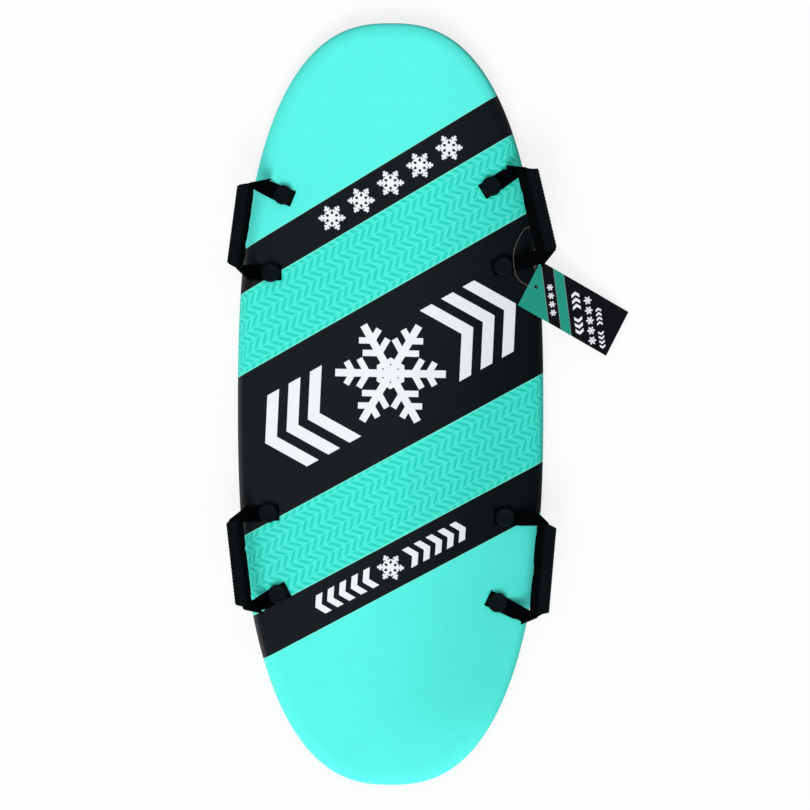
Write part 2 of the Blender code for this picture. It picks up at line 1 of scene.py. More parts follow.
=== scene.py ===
"""Looks of a snow surfer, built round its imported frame.

The frame gives the board's size, the places of the rivets and the fold lines of the
four handles. Lengths are in metres, +X right, +Y to the front tip and +Z up.
"""

import json
import math

import bmesh
import bpy
from mathutils import Matrix, Vector, noise


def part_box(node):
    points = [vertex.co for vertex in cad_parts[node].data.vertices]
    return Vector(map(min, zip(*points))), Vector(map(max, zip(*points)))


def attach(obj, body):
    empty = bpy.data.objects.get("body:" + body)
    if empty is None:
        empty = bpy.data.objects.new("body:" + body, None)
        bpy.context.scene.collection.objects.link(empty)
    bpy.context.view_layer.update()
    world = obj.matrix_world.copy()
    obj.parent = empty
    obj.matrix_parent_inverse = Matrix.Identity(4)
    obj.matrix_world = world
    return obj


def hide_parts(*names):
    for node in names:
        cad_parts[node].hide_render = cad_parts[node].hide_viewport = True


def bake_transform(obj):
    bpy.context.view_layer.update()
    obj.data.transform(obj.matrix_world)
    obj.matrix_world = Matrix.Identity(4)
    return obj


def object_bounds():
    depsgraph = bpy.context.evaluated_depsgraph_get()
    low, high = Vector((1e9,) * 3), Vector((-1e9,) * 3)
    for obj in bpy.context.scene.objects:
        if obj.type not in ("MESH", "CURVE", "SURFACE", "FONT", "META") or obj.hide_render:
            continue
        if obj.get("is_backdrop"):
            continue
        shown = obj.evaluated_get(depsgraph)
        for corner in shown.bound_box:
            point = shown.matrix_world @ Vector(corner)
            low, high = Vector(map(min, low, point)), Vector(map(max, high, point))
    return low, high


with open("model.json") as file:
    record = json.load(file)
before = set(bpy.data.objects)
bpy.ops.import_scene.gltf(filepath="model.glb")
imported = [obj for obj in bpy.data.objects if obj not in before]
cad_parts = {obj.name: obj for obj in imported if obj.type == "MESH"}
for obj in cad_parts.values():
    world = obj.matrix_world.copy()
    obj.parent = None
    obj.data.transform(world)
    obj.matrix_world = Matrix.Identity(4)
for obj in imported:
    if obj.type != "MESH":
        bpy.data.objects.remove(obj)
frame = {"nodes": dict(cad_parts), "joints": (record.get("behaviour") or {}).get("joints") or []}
CAD_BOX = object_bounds()

bl_info = {
    "name": "Snow surfer looks",
    "version": (1, 0, 0),
    "blender": (4, 5, 0),
    "location": "View3D > Sidebar > Snow surfer",
    "description": "Builds the printed deck, rivets, strap handles and hang tag of a snow surfer",
    "category": "Object",
}

MILLIMETRE = 0.001
UP = Vector((0, 0, 1))
QUARTER_TURN = math.radians(90)
SHARP_ANGLE = math.radians(40)
SAME_POINT = 0.01 * MILLIMETRE
BLACK = (0, 0, 0, 1)
WHITE = (1, 1, 1, 1)
ENDS = ("front", "rear")
SIDES = ("left", "right")
ROWS = ("outer", "inner")
HANDLES = [f"{end}_{side}" for end in ENDS for side in SIDES]


# Kinds of property


def length(name, description, default):
    return bpy.props.FloatProperty(
        name=name, description=description, default=default, subtype="DISTANCE", unit="LENGTH", precision=5
    )


def share(name, description, default):
    return bpy.props.FloatProperty(
        name=name, description=description, default=default, min=0, max=1, subtype="FACTOR"
    )


def angle(name, description, degrees):
    return bpy.props.FloatProperty(
        name=name, description=description, default=math.radians(degrees), subtype="ANGLE", unit="ROTATION"
    )


def number(name, description, default):
    return bpy.props.FloatProperty(name=name, description=description, default=default)


def count(name, description, default):
    return bpy.props.IntProperty(name=name, description=description, default=default, min=1)


def place(name, description, default):
    return bpy.props.FloatVectorProperty(
        name=name, description=description, default=default, subtype="TRANSLATION", unit="LENGTH", precision=5
    )


def numbers(name, description, default):
    return bpy.props.FloatVectorProperty(
        name=name, description=description, default=default, size=len(default), precision=4
    )


def angles(name, description, degrees):
    return bpy.props.FloatVectorProperty(
        name=name,
        description=description,
        default=[math.radians(value) for value in degrees],
        size=len(degrees),
        unit="ROTATION",
    )


def colour(name, description, display_values):
    return bpy.props.FloatVectorProperty(
        name=name,
        description=description,
        default=[value / 255 for value in display_values],
        size=3,
        min=0,
        max=1,
        subtype="COLOR_GAMMA",
    )


# Settings


class StageSettings(bpy.types.PropertyGroup):
    """The camera, the floor and the light."""

    view_width: length("View width", "Width of the picture at the deck's height", 0.9966)
    view_centre: place("View centre", "Point of the deck at the picture's middle", (0.0178, -0.0012, 0.035))
    view_height: length("Camera height", "Height of the camera above the deck", 3.465)
    sensor: number("Sensor", "Width of the camera's sensor in millimetres", 36)
    floor_radius: length("Floor radius", "Radius of the round floor", 6)
    floor_colour: colour("Floor", "Colour of the floor", (246, 246, 246))
    floor_glow: share("Floor glow", "How far the floor shows as plain white to the camera", 0.8)
    sun_strength: number("Sun strength", "Strength of the soft main light", 2.03)
    sun_tilt: angle("Sun tilt", "How far the main light leans towards the rear tip", 38)
    sun_turn: angle("Sun turn", "How far the main light stands to the left", -8)
    sun_softness: angle("Sun softness", "Angle that the main light fills", 32)
    sky_strength: number("Sky strength", "Strength of the light from all round", 0.52)


class LoopSettings(bpy.types.PropertyGroup):
    """The thin nylon loop of the hang tag and the barrel that closes it."""

    diameter: length("Diameter", "Diameter of the nylon", 0.001)
    lock_place: place("Lock place", "Middle of the lock, from the rivet beside it", (0.0391, 0.0022, -0.0035))
    lock_length: length("Lock length", "Length of the barrel", 0.009)
    lock_radius: length("Lock radius", "Radius of the barrel", 0.0016)
    lock_neck: length("Lock neck", "Depth of the barrel's rounded ends", 0.0006)
    gap: length("Gap", "Clearance between the loop's ends and the barrel", 0.0003)
    opacity: share("Opacity", "How much of what lies behind the nylon it hides", 0.09)
    colour: colour("Nylon", "Colour of the nylon", (214, 196, 186))


class DeckSettings(bpy.types.PropertyGroup):
    """The printed foam skin, wrapped over the rail."""

    outline_power: number("Outline power", "Exponent of the board's outline; 2 is an ellipse", 2.5)
    outline_points: count("Outline points", "Points round the outline", 288)
    rail_steps: count("Rail steps", "Rings round the upper rail", 14)
    scoop_length: length("Scoop length", "Length of the raised base at each tip", 0.170)
    scoop_rise: length("Scoop rise", "How far the base rises at each tip", 0.015)
    rail_top_width: length("Upper rail width", "Width of the rounded upper rail", 0.020)
    rail_lower_width: length("Lower rail width", "Width of the rounded lower rail", 0.010)
    rail_widest: share("Rail height", "Height of the widest line as a share of the thickness", 0.46)
    seam_angle: angle("Seam angle", "Where the skin ends on the lower rail", -35)
    skin: length("Skin", "Thickness of the foam skin", 0.003)
    stripe_heights: numbers(
        "Stripe heights",
        "Where the stripes' edges cross the board's long axis, from front to rear",
        (0.3002, 0.2440, 0.1394, -0.0640, -0.1710, -0.2313),
    )
    stripe_slopes: numbers(
        "Stripe slopes",
        "How steeply the stripes' edges climb to the right",
        (0.610, 0.590, 0.569, 0.544, 0.533, 0.528),
    )
    ink_softness: length("Ink softness", "Width over which a printed edge fades", 0.0005)
    edge_line: length("Edge line", "Width of the pale line beside each stripe", 0.0014)
    hatch_row: length("Hatch row", "Width of one row of the herringbone", 0.0125)
    hatch_pitch: length("Hatch pitch", "Distance between the bars of the herringbone", 0.0105)
    hatch_lean: number("Hatch lean", "How far each bar leans for a step across its row", 1.15)
    crystal: numbers("Crystal", "Radius and stroke of the large snow crystal", (0.068, 0.0092))
    small_crystal: numbers("Small crystals", "Radius and stroke of the small snow crystals", (0.0165, 0.003))
    crystal_pitch: length("Crystal pitch", "Distance between the small snow crystals", 0.042)
    chevrons: numbers(
        "Chevrons",
        "First reach, pitch, stroke, half height and lean of the large chevrons",
        (0.100, 0.030, 0.0165, 0.050, 0.62),
    )
    small_chevrons: numbers(
        "Small chevrons",
        "First reach, pitch, stroke, half height and lean of the small chevrons",
        (0.030, 0.0165, 0.0088, 0.0125, 0.62),
    )
    foam: colour("Plain foam", "Colour of the plain ends of the deck", (88, 246, 232))
    hatch_light: colour("Hatch light", "Lighter colour of the herringbone", (76, 240, 222))
    hatch_dark: colour("Hatch dark", "Darker colour of the herringbone", (34, 211, 188))
    pale: colour("Pale line", "Colour of the line beside each stripe", (122, 240, 220))
    black: colour("Black stripe", "Colour of the dark stripes", (6, 14, 18))
    white: colour("White print", "Colour of the white motifs", (240, 243, 245))
    # Painted light and shade on the deck: painted shade on its right side and on the rim at the front and
    # right, painted light on the rim at the rear and left, and a painted sheen on its left side.
    shade_depth: share("Shade", "How much the deck darkens towards its right side", 0.18)
    shade_turn: number("Shade turn", "How much further the shade reaches towards the rear", 0.15)
    shade_start: length("Shade start", "Where the shade begins, right of the middle", -0.02)
    shade_end: length("Shade end", "Where the shade is full, right of the middle", 0.18)
    bright_tip: length("Bright tip", "Distance from the rear tip to where the shade begins", 0.010)
    bright_fade: length("Bright fade", "Length over which that shade grows", 0.120)
    rim_start: length("Rim start", "How far under the deck's top the rim's shade begins", 0.0035)
    rim_end: length("Rim end", "How far under the deck's top the rim's shade is full", 0.010)
    rim_turn: angle("Rim turn", "Direction that the shaded part of the rim faces, seen from above", 60)
    rim_shade: share("Rim shade", "How dark the rim is at the front", 0.6)
    rim_light: share("Rim light", "How much the rim pales at the rear", 0.06)
    sheen: share("Sheen", "How much the deck pales towards its left side", 0.007)


class BaseSettings(bpy.types.PropertyGroup):
    """The slick base and the foam core."""

    sheet: length("Sheet", "Thickness of the slick sheet", 0.0012)
    slick: colour("Slick", "Colour of the slick sheet", (24, 27, 30))
    core: colour("Core", "Colour of the bead foam", (236, 238, 238))


class RivetSettings(bpy.types.PropertyGroup):
    """The large push rivets and their sockets."""

    segments: count("Segments", "Points round a rivet", 72)
    shank_radius: length("Shank radius", "Radius of the shank", 0.004)
    shoulder: length("Shoulder", "Width of the head's rounded shoulder", 0.0024)
    dish: length("Dish", "Depth of the shallow dish in the head", 0.00035)
    socket_wall: length("Socket wall", "Wall of the socket round the shank", 0.0027)
    flange: length("Flange", "Thickness of the socket's flange", 0.002)
    clearance: length("Clearance", "Gap round the rivets", 0.0003)
    colour: colour("Rivet", "Colour of the moulded plastic", (3, 11, 14))


class StrapSettings(bpy.types.PropertyGroup):
    """The woven straps, one ribbon to a handle."""

    width: length("Width", "Width of the strap", 0.020)
    thickness: length("Thickness", "Thickness of the strap", 0.0018)
    tail: length("Tail", "Free end beyond the rivet's middle", 0.0135)
    gathered: share("Gathered", "Width of the strap inside the grip as a share of its own", 0.85)
    outer_headings: angles("Outer headings", "Angle of each strap at its outer rivet", (13.5, 24, 20.5, 20))
    inner_headings: angles("Inner headings", "Angle of each strap at its inner rivet", (-10, 4, -4, -3))
    outer_creases: angles("Outer creases", "Angle of the crease at the grip's outer end", (18, 15, 17, 27))
    inner_creases: angles("Inner creases", "Angle of the crease at the grip's inner end", (26, 40, 23, 36))
    outer_shifts: numbers("Outer shifts", "How far each outer crease passes its grip", (0, 0, 0.0036, 0))
    inner_shifts: numbers(
        "Inner shifts", "How far each inner crease passes its grip", (-0.0039, 0, 0, -0.0031)
    )
    pinch: share("Pinch", "Width of the strap at its crease as a share of its own", 0.84)
    roll_radius: length("Roll radius", "Radius of the soft roll into the grip", 0.0038)
    rise: length("Rise", "Height of the fold line above the strap's middle", 0.003)
    fold_before: length("Fold before", "Where the strap starts to rise, short of the fold line", 0.0045)
    fold_after: length("Fold after", "Where the strap is straight again past the fold line", 0.005)
    step: length("Step", "Distance between rings along the strap", 0.002)
    waver: length("Waver", "How far the free strap wavers off its plane", 0.0004)
    rib: length("Rib", "Distance between the ribs of the weave", 0.0016)
    colour: colour("Webbing", "Colour of the webbing", (1, 2, 3))


class GripSettings(bpy.types.PropertyGroup):
    """The padded sleeves round the straps."""

    reaches: numbers("Reaches", "Distance of each grip from its fold line", (0.046, 0.0400, 0.0424, 0.0412))
    offsets: numbers("Offsets", "How far each grip sits towards the tip", (0.0011, 0.0100, 0.0042, 0.0058))
    lengths: numbers("Lengths", "Length of each cloth sleeve at its sewn edge", (0.0946, 0.0999, 0.1, 0.1048))
    leans: angles("Leans", "How far each grip leans out towards the tip", (2.0, -5.4, 0.9, 0.0))
    slant: length("Slant", "How much further a sleeve's end reaches on its inner side", 0.006)
    thickness: length("Thickness", "Thickness of the padded sleeve", 0.0125)
    widths: numbers("Widths", "Width of each padded sleeve", (0.023, 0.026, 0.023, 0.023))
    cloth: length("Cloth", "Thickness of the cloth", 0.0012)
    inset: length("Inset", "How far the foam stays back from the sleeve's ends", 0.006)
    power: number("Roundness", "Exponent of the sleeve's cross-section", 2.3)
    fin: length("Fin", "Width of the sewn edge", 0.0020)
    fin_thickness: length("Fin thickness", "Thickness of the sewn edge", 0.0030)
    stitch: length("Stitch", "Distance between stitches", 0.0042)
    thread: length("Thread", "Thickness of the thread", 0.0008)
    # Painted shade: the sleeve is painted darker on its inner side, which faces the board; the panel is the
    # paler band beside the sewn edge, where the light falls.
    panel: length("Panel", "Width of the paler panel beside the sewn edge", 0.0145)
    shade_fade: length("Panel fade", "Width over which the panel darkens", 0.0055)
    cloth_frames: count("Cloth frames", "Frames over which the cloth settles", 20)
    cloth_pressure: number("Cloth pressure", "Pressure that fills the sleeves", 1.5)
    cloth_slack: share("Cloth slack", "How much larger the cloth is than its filling", 0.03)
    cloth_mass: number("Cloth mass", "Mass of the cloth at each of its points", 0.05)
    cloth_limit: length("Cloth limit", "How far a point of the cloth may settle", 0.0009)
    left_lift: angle("Left lift", "How far the left handles stand up", 46)
    right_lift: angle("Right lift", "How far the right handles stand up", 26)
    # Painted light and shade of the cloth: its lit, paler colour, which the thread shares, and its shaded,
    # darker colour.
    colour: colour("Cloth", "Colour of the paler cloth", (9, 15, 17))
    dark: colour("Dark cloth", "Colour of the darker cloth", (1, 2, 3))
    foam: colour("Foam", "Colour of the foam", (34, 36, 38))


class TagSettings(bpy.types.PropertyGroup):
    """The printed card on the loop."""

    length: length("Length", "Length of the card", 0.130)
    width: length("Width", "Width of the card", 0.062)
    thickness: length("Thickness", "Thickness of the card", 0.0006)
    hole_inset: length("Hole inset", "Distance of the hole from the card's end", 0.010)
    hole_radius: length("Hole radius", "Radius of the hole", 0.00225)
    heading: angle("Heading", "Direction of the card, seen from above", -28.3)
    bow: length("Bow", "How far the card's middle curves up", 0.0012)
    stripe_places: numbers("Stripe places", "Where the edges cross the axis", (0.0125, 0.0305, 0.0457))
    stripe_lean: number("Stripe lean", "How far the edges lean for a step across the card", 0.72)
    ink_softness: length("Ink softness", "Width over which a printed edge fades", 0.0004)
    rows_middle: length("Rows' middle", "Place along the card that the rows' shifts are measured from", 0.045)
    teal_crystals: numbers(
        "Teal crystals",
        "Place, shift, pitch, radius and stroke of the snow crystals between the teal edges",
        (0.0215, -0.008, 0.0105, 0.0042, 0.0009),
    )
    black_crystals: numbers(
        "Black crystals",
        "Place, shift, pitch, radius and stroke of the snow crystals on the black print",
        (0.0785, 0.023, 0.0125, 0.0052, 0.0011),
    )
    large_chevrons: numbers(
        "Large chevrons",
        "Place, shift, first reach, pitch, stroke, half height and lean of the large chevrons",
        (0.0600, 0.012, 0.0078, 0.0075, 0.0040, 0.0052, 0.7),
    )
    small_chevrons: numbers(
        "Small chevrons",
        "Place, shift, first reach, pitch, stroke, half height and lean of the small chevrons",
        (0.0940, 0.034, 0.0060, 0.0056, 0.0028, 0.0036, 0.7),
    )
    teal: colour("Teal", "Colour of the teal print", (35, 150, 132))
    black: colour("Black", "Colour of the black print", (10, 11, 16))
    white: colour("White", "Colour of the white print", (236, 238, 242))
    paper: colour("Paper", "Colour of the card itself, seen in the lines between prints", (226, 224, 218))


class SurferSettings(bpy.types.PropertyGroup):
    """Everything that can be changed on the snow surfer."""

    stage: bpy.props.PointerProperty(type=StageSettings, name="Stage", description="Camera, floor and light")
    loop: bpy.props.PointerProperty(type=LoopSettings, name="Tag loop", description="Nylon loop and lock")
    deck: bpy.props.PointerProperty(type=DeckSettings, name="Deck", description="Printed foam skin")
    base: bpy.props.PointerProperty(type=BaseSettings, name="Base", description="Slick sheet and core")
    rivet: bpy.props.PointerProperty(type=RivetSettings, name="Rivets", description="Rivets and sockets")
    strap: bpy.props.PointerProperty(type=StrapSettings, name="Straps", description="Woven straps")
    grip: bpy.props.PointerProperty(type=GripSettings, name="Grips", description="Padded grips")
    tag: bpy.props.PointerProperty(type=TagSettings, name="Hang tag", description="Printed card")


# Shader maths


def linear(display_value):
    """Turn a display colour value from 0 to 1 into the shader's linear value."""
    return display_value / 12.92 if display_value <= 0.04045 else ((display_value + 0.055) / 1.055) ** 2.4


def paint(display_colour, lightness=1):
    """A shader colour from a display colour, made lighter or darker."""
    return [linear(value) * lightness for value in display_colour] + [1]


class Wire:
    """One output of a shader node, which takes part in Python arithmetic."""

    def __init__(self, surface, socket):
        self.surface = surface
        self.socket = socket

    def maths(self, operation, *others):
        sockets = dict(enumerate((self, *others)))
        return self.surface.node("ShaderNodeMath", {"operation": operation}, sockets)

    def reflected(self, operation, other):
        return self.surface.node("ShaderNodeMath", {"operation": operation}, {0: other, 1: self})

    def __add__(self, other):
        return self.maths("ADD", other)

    def __radd__(self, other):
        return self.reflected("ADD", other)

    def __sub__(self, other):
        return self.maths("SUBTRACT", other)

    def __rsub__(self, other):
        return self.reflected("SUBTRACT", other)

    def __mul__(self, other):
        return self.maths("MULTIPLY", other)

    def __rmul__(self, other):
        return self.reflected("MULTIPLY", other)

    def __truediv__(self, other):
        return self.maths("DIVIDE", other)

    def __rtruediv__(self, other):
        return self.reflected("DIVIDE", other)

    def __abs__(self):
        return self.maths("ABSOLUTE")

    def lowest(self, *others):
        found = self
        for other in others:
            found = found.maths("MINIMUM", other)
        return found

    def highest(self, *others):
        found = self
        for other in others:
            found = found.maths("MAXIMUM", other)
        return found

    def wave(self, period):
        """A sine that repeats after a period, from 0 to 1."""
        return (self * (math.tau / period)).maths("SINE") * 0.5 + 0.5

    def fraction(self):
        return self.maths("FRACT")

    def from_middle(self):
        """Distance from the middle of each whole step of the value, from 0 to a half."""
        return abs(self.fraction() - 0.5)

    def fade(self, low, high):
        """Ease from 0 to 1 as the value goes from low to high."""
        settings = {"interpolation_type": "SMOOTHSTEP"}
        return self.surface.node("ShaderNodeMapRange", settings, {0: self, 1: low, 2: high})

    def within(self, half, blur):
        """Share that lies within a half width of nothing, with a blurred edge."""
        return abs(self).fade(half + blur, half - blur)

    def ink(self, softness):
        """Share of ink, for a distance that is below zero inside the print."""
        return (self * -1).fade(-softness / 2, softness / 2)

    def axes(self):
        """The three numbers of a vector."""
        first = self.surface.node("ShaderNodeSeparateXYZ", {}, {0: self})
        outputs = first.socket.node.outputs
        return [Wire(self.surface, output) for output in outputs]


class Nodes:
    """A node tree and the one way to add nodes to it."""

    def __init__(self, tree):
        self.tree = tree

    def feed(self, socket, value):
        if isinstance(value, Wire):
            self.tree.links.new(value.socket, socket)
        else:
            socket.default_value = value

    def node(self, kind, settings, sockets, output=0):
        """Add a node, with its settings first and then a value or a link for each of its sockets."""
        node = self.tree.nodes.new(kind)
        for name, value in settings.items():
            setattr(node, name, value)
        for name, value in sockets.items():
            self.feed(node.inputs[name], value)
        return Wire(self, node.outputs[output])

    def finish(self, output, shader):
        """Lead a shader to the tree's output node."""
        self.feed(self.tree.nodes[output].inputs["Surface"], shader)


class Surface(Nodes):
    """One material, with its nodes and its Principled shader."""

    # Numbers of a Mix node's factor, of its two colours, and of its mixed colour
    MIX_SOCKETS = (0, 6, 7)
    MIX_OUTPUT = 2

    def __init__(self, name, roughness, specular):
        self.material = bpy.data.materials.new(name)
        self.material.use_nodes = True
        super().__init__(self.material.node_tree)
        self.shader = self.tree.nodes["Principled BSDF"]
        self.set("Roughness", roughness)
        self.set("Specular IOR Level", specular)

    def set(self, name, value):
        """Give a value or a link to one of the shader's own sockets."""
        self.feed(self.shader.inputs[name], value)

    def mix(self, factor, first, second):
        """Blend two colours."""
        sockets = dict(zip(self.MIX_SOCKETS, (factor, first, second)))
        return self.node("ShaderNodeMix", {"data_type": "RGBA"}, sockets, self.MIX_OUTPUT)

    def shades(self, mask, display_colour, first, second):
        """One colour, between two lightnesses of it."""
        return self.mix(mask, paint(display_colour, first), paint(display_colour, second))

    def coats(self, colour_now, *coats):
        """Lay coats over a colour, each with its share and its own colour."""
        for covered, coat in coats:
            colour_now = self.mix(covered, colour_now, coat)
        return colour_now

    def position(self):
        """The point being shaded, in the row frame."""
        return self.node("ShaderNodeTexCoord", {}, {}, "Object")

    def unrolled(self):
        """Places across and along the flat cloth or card, in metres."""
        return self.node("ShaderNodeUVMap", {"uv_map": "UVMap"}, {}).axes()[:2]

    def grain(self, size, detail=2, vector=None):
        """Noise from 0 to 1 whose lumps have about the given size."""
        sockets = {"Vector": vector or self.position(), "Scale": 1 / size, "Detail": detail}
        return self.node("ShaderNodeTexNoise", {}, sockets)

    def cells(self, size):
        """Distance from the middle of rounded cells of the given size."""
        sockets = {"Vector": self.position(), "Scale": 1 / size}
        return self.node("ShaderNodeTexVoronoi", {}, sockets, "Distance")

    def relief(self, height, depth):
        """Raise the surface by a height from 0 to 1, times a depth in metres."""
        normal = self.node("ShaderNodeBump", {}, {"Height": height, "Distance": depth, "Strength": 1})
        self.set("Normal", normal)


# Printed motifs, each a distance that is below zero inside the ink


def crystal(across, along, radius, stroke):
    """A six-armed snow crystal, drawn from one folded arm."""
    sector = math.radians(60)
    branches = ((0.42, 0.30), (0.68, 0.24))
    branch_stroke, hexagon_stroke = 0.42 * stroke, 0.36 * stroke
    hexagon_radius = 0.2 * radius
    turn = along.maths("ARCTAN2", across)
    reach = (across * across + along * along).maths("SQRT")
    folded = (turn / sector + 0.5).from_middle() * sector
    arm = reach * folded.maths("COSINE")
    side = reach * folded.maths("SINE")
    shape = (side - stroke / 2).highest(arm - radius)
    for start_share, length_share in branches:
        beyond = arm - radius * start_share
        away = abs(beyond * math.sin(sector) - side * math.cos(sector)) - branch_stroke
        travelled = beyond * math.cos(sector) + side * math.sin(sector)
        shape = shape.lowest(away.highest(travelled - radius * length_share, 0 - travelled))
    return shape.lowest(abs(arm - hexagon_radius) - hexagon_stroke)


def chevrons(along, across, first, pitch, stroke, half_height, lean, copies):
    """A row of chevrons on each side of the middle, pointing outwards."""
    reach = abs(along) + abs(across) * lean - first
    inside_row = (reach * -1).highest(reach - (pitch * (copies - 1) + stroke))
    bar = (reach / pitch).fraction() * pitch - stroke
    return bar.highest(inside_row, abs(across) - half_height)


def crystal_row(across, along, pitch, radius, stroke, copies):
    """A row of snow crystals about the middle."""
    odd = copies % 2
    cell = ((along / pitch + 0.5 * odd).fraction() - 0.5) * pitch
    return crystal(across, cell, radius, stroke).highest(abs(along) - pitch * copies / 2)


# Finishes


class DeckPrint(Surface):
    """The deck's print, with painted light and shade over it.

    The edges of the dark stripes are numbered from the front tip to the rear.
    """

    def __init__(self, deck):
        super().__init__("printed_foam", roughness=0.55, specular=0.04)
        self.deck = deck
        self.low, self.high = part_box("deck_skin")
        self.x, self.y, z = self.position().axes()
        self.over_rail = (self.high.z - z).highest(0)
        self.steep_x = self.steepness(self.x, self.high.x)
        self.steep_y = self.steepness(self.y, self.high.y)
        self.steepest = (self.steep_x * self.steep_x + self.steep_y * self.steep_y).maths("SQRT")
        self.edges = [self.ahead_of(index) for index in range(len(deck.stripe_heights))]

    def steepness(self, value, half):
        """How fast the outline's size grows along one axis."""
        return value * (abs(value) / half).maths("POWER", self.deck.outline_power - 2) / half ** 2

    def ahead_of(self, index):
        """Distance ahead of a stripe's edge."""
        slope = self.deck.stripe_slopes[index]
        return (self.y - self.x * slope - self.deck.stripe_heights[index]) / math.hypot(1, slope)

    def between(self, front, rear):
        return self.edges[front].highest(self.edges[rear] * -1)

    def band_axes(self, front, rear, stretch=None):
        """Places along and across a stripe, from the long axis, perhaps wrapped over the rail."""
        deck = self.deck
        slope = (deck.stripe_slopes[front] + deck.stripe_slopes[rear]) / 2
        middle = (deck.stripe_heights[front] + deck.stripe_heights[rear]) / 2
        size = math.hypot(1, slope)
        sideways, forward = self.x, self.y
        if stretch:
            sideways, forward = self.x + self.steep_x * stretch, self.y + self.steep_y * stretch
        ahead = forward - middle
        return (sideways + ahead * slope) / size, (ahead - sideways * slope) / size

    def herringbone(self):
        """Share of the darker colour in the herringbone: slanted bars with a thin line between."""
        deck = self.deck
        blur, line_blur = 0.02, 0.01
        half_bar, half_row, half_line = 0.25, 0.44, 0.025
        line_place = 0.40
        bar_strength, line_strength = 0.85, 0.55
        along, across = self.band_axes(1, 2, self.over_rail / self.steepest)
        row = across / deck.hatch_row
        zigzag = (row / 2).from_middle() * 2
        from_bar = (along / deck.hatch_pitch + zigzag * deck.hatch_lean).from_middle()
        bar = from_bar.within(half_bar, blur) * bar_strength
        line = (from_bar - line_place).within(half_line, line_blur) * line_strength
        return bar.highest(line) * row.from_middle().within(half_row, blur)

    def motifs(self):
        """Distance from the snow crystals and chevrons in the dark stripes."""
        deck = self.deck
        along, across = self.band_axes(2, 3)
        crystals = crystal(across, along, *deck.crystal)
        pointed = chevrons(along, across, *deck.chevrons, copies=3)
        along, across = self.band_axes(0, 1)
        row = crystal_row(across, along, deck.crystal_pitch, *deck.small_crystal, copies=5)
        along, across = self.band_axes(4, 5)
        small = crystal(across, along, *deck.small_crystal)
        return crystals.lowest(pointed, row, small, chevrons(along, across, *deck.small_chevrons, copies=5))

    def light_and_shade(self):
        """Coats of painted shade that darken the deck and its rim on one side, and of painted light that pale
        them on the other.
        """
        deck = self.deck
        tip = self.low.y + deck.bright_tip
        shaded = (self.x - self.y * deck.shade_turn).fade(deck.shade_start, deck.shade_end)
        shaded = shaded * self.y.fade(tip, tip + deck.bright_fade)
        turned_to = self.steep_x * math.cos(deck.rim_turn) + self.steep_y * math.sin(deck.rim_turn)
        facing = turned_to / self.steepest
        rim = self.over_rail.fade(deck.rim_start, deck.rim_end)
        return [
            (rim * facing.highest(0) * deck.rim_shade, BLACK),
            (rim * (facing * -1).highest(0) * deck.rim_light, WHITE),
            (shaded * deck.shade_depth, BLACK),
            ((1 - shaded) * deck.sheen, WHITE),
        ]


def deck_finish(deck):
    """Foam skin printed with diagonal stripes, herringbone, snow crystals and chevrons."""
    surface = DeckPrint(deck)
    soft = deck.ink_softness
    line_strength = 0.8
    foam = surface.shades(surface.grain(size=0.03), deck.foam, 0.97, 1.03)
    hatch = surface.mix(surface.herringbone(), paint(deck.hatch_light), paint(deck.hatch_dark))
    hatched = surface.between(1, 2).lowest(surface.between(3, 4))
    black = surface.between(0, 1).lowest(surface.between(2, 3), surface.between(4, 5))
    colour_now = surface.coats(
        foam,
        (hatched.ink(soft), hatch),
        ((black - deck.edge_line).ink(soft) * line_strength, paint(deck.pale)),
        (black.ink(soft), paint(deck.black)),
        (surface.motifs().ink(soft), paint(deck.white)),
        # Painted shade and painted light over the print
        *surface.light_and_shade(),
    )
    surface.set("Base Color", colour_now)
    pores = surface.grain(size=0.0011, detail=3)
    surface.set("Roughness", 0.50 + pores * 0.14)
    surface.relief(pores * 0.35 + surface.grain(size=0.012), depth=0.00035)
    return surface.material


def slick_finish(base):
    """Smooth polyethylene with faint scratches along the board."""
    surface = Surface("slick_sheet", roughness=0.28, specular=0.5)
    drawn_out = (1, 0.02, 1)
    sockets = {0: surface.position(), 1: drawn_out}
    stretched = surface.node("ShaderNodeVectorMath", {"operation": "MULTIPLY"}, sockets)
    scratches = surface.grain(size=0.0009, detail=3, vector=stretched).fade(0.56, 0.72)
    haze = surface.grain(size=0.05)
    surface.set("Base Color", surface.shades(scratches * 0.35, base.slick, 1, 2.6))
    surface.set("Roughness", 0.24 + haze * 0.1 + scratches * 0.18)
    surface.relief(haze - scratches * 0.05, depth=0.0006)
    return surface.material


def core_finish(base):
    """Expanded bead foam."""
    surface = Surface("bead_foam", roughness=0.85, specular=0.3)
    bead = surface.cells(size=0.004)
    surface.set("Base Color", surface.shades(bead.fade(0.25, 0.75), base.core, 1, 0.82))
    surface.relief(1 - bead, depth=0.0005)
    return surface.material


def rivet_finish(rivet):
    """Moulded plastic with a spark-eroded grain."""
    surface = Surface("moulded_plastic", roughness=0.45, specular=0.06)
    sparks = surface.grain(size=0.0005)
    surface.set("Base Color", surface.shades(surface.grain(size=0.006), rivet.colour, 0.9, 1.25))
    surface.set("Roughness", 0.38 + sparks * 0.2)
    surface.relief(sparks, depth=0.00006)
    return surface.material


def webbing_finish(strap):
    """Woven strap: ribs along its length, crossed by slanted picks."""
    surface = Surface("black_webbing", roughness=0.75, specular=0.02)
    across, along = surface.unrolled()
    slant, pick_length = 2.4 * strap.rib, 0.72 * strap.rib
    column = across / strap.rib
    from_rib = column.from_middle() * 2
    picks = (along + (column / 2).from_middle() * slant).wave(pick_length)
    height = picks * 0.6 + (1 - from_rib * from_rib) * 0.4
    fibre = surface.grain(size=0.0006)
    # Painted light: the raised ribs and picks are painted lighter and the hollows of the weave darker, on top
    # of the fibres' own tone.
    surface.set("Base Color", surface.shades(height * fibre, strap.colour, 0.7, 2.2))
    surface.set("Roughness", 0.66 + fibre * 0.25)
    surface.relief(height + fibre * 0.25, depth=0.00022)
    return surface.material


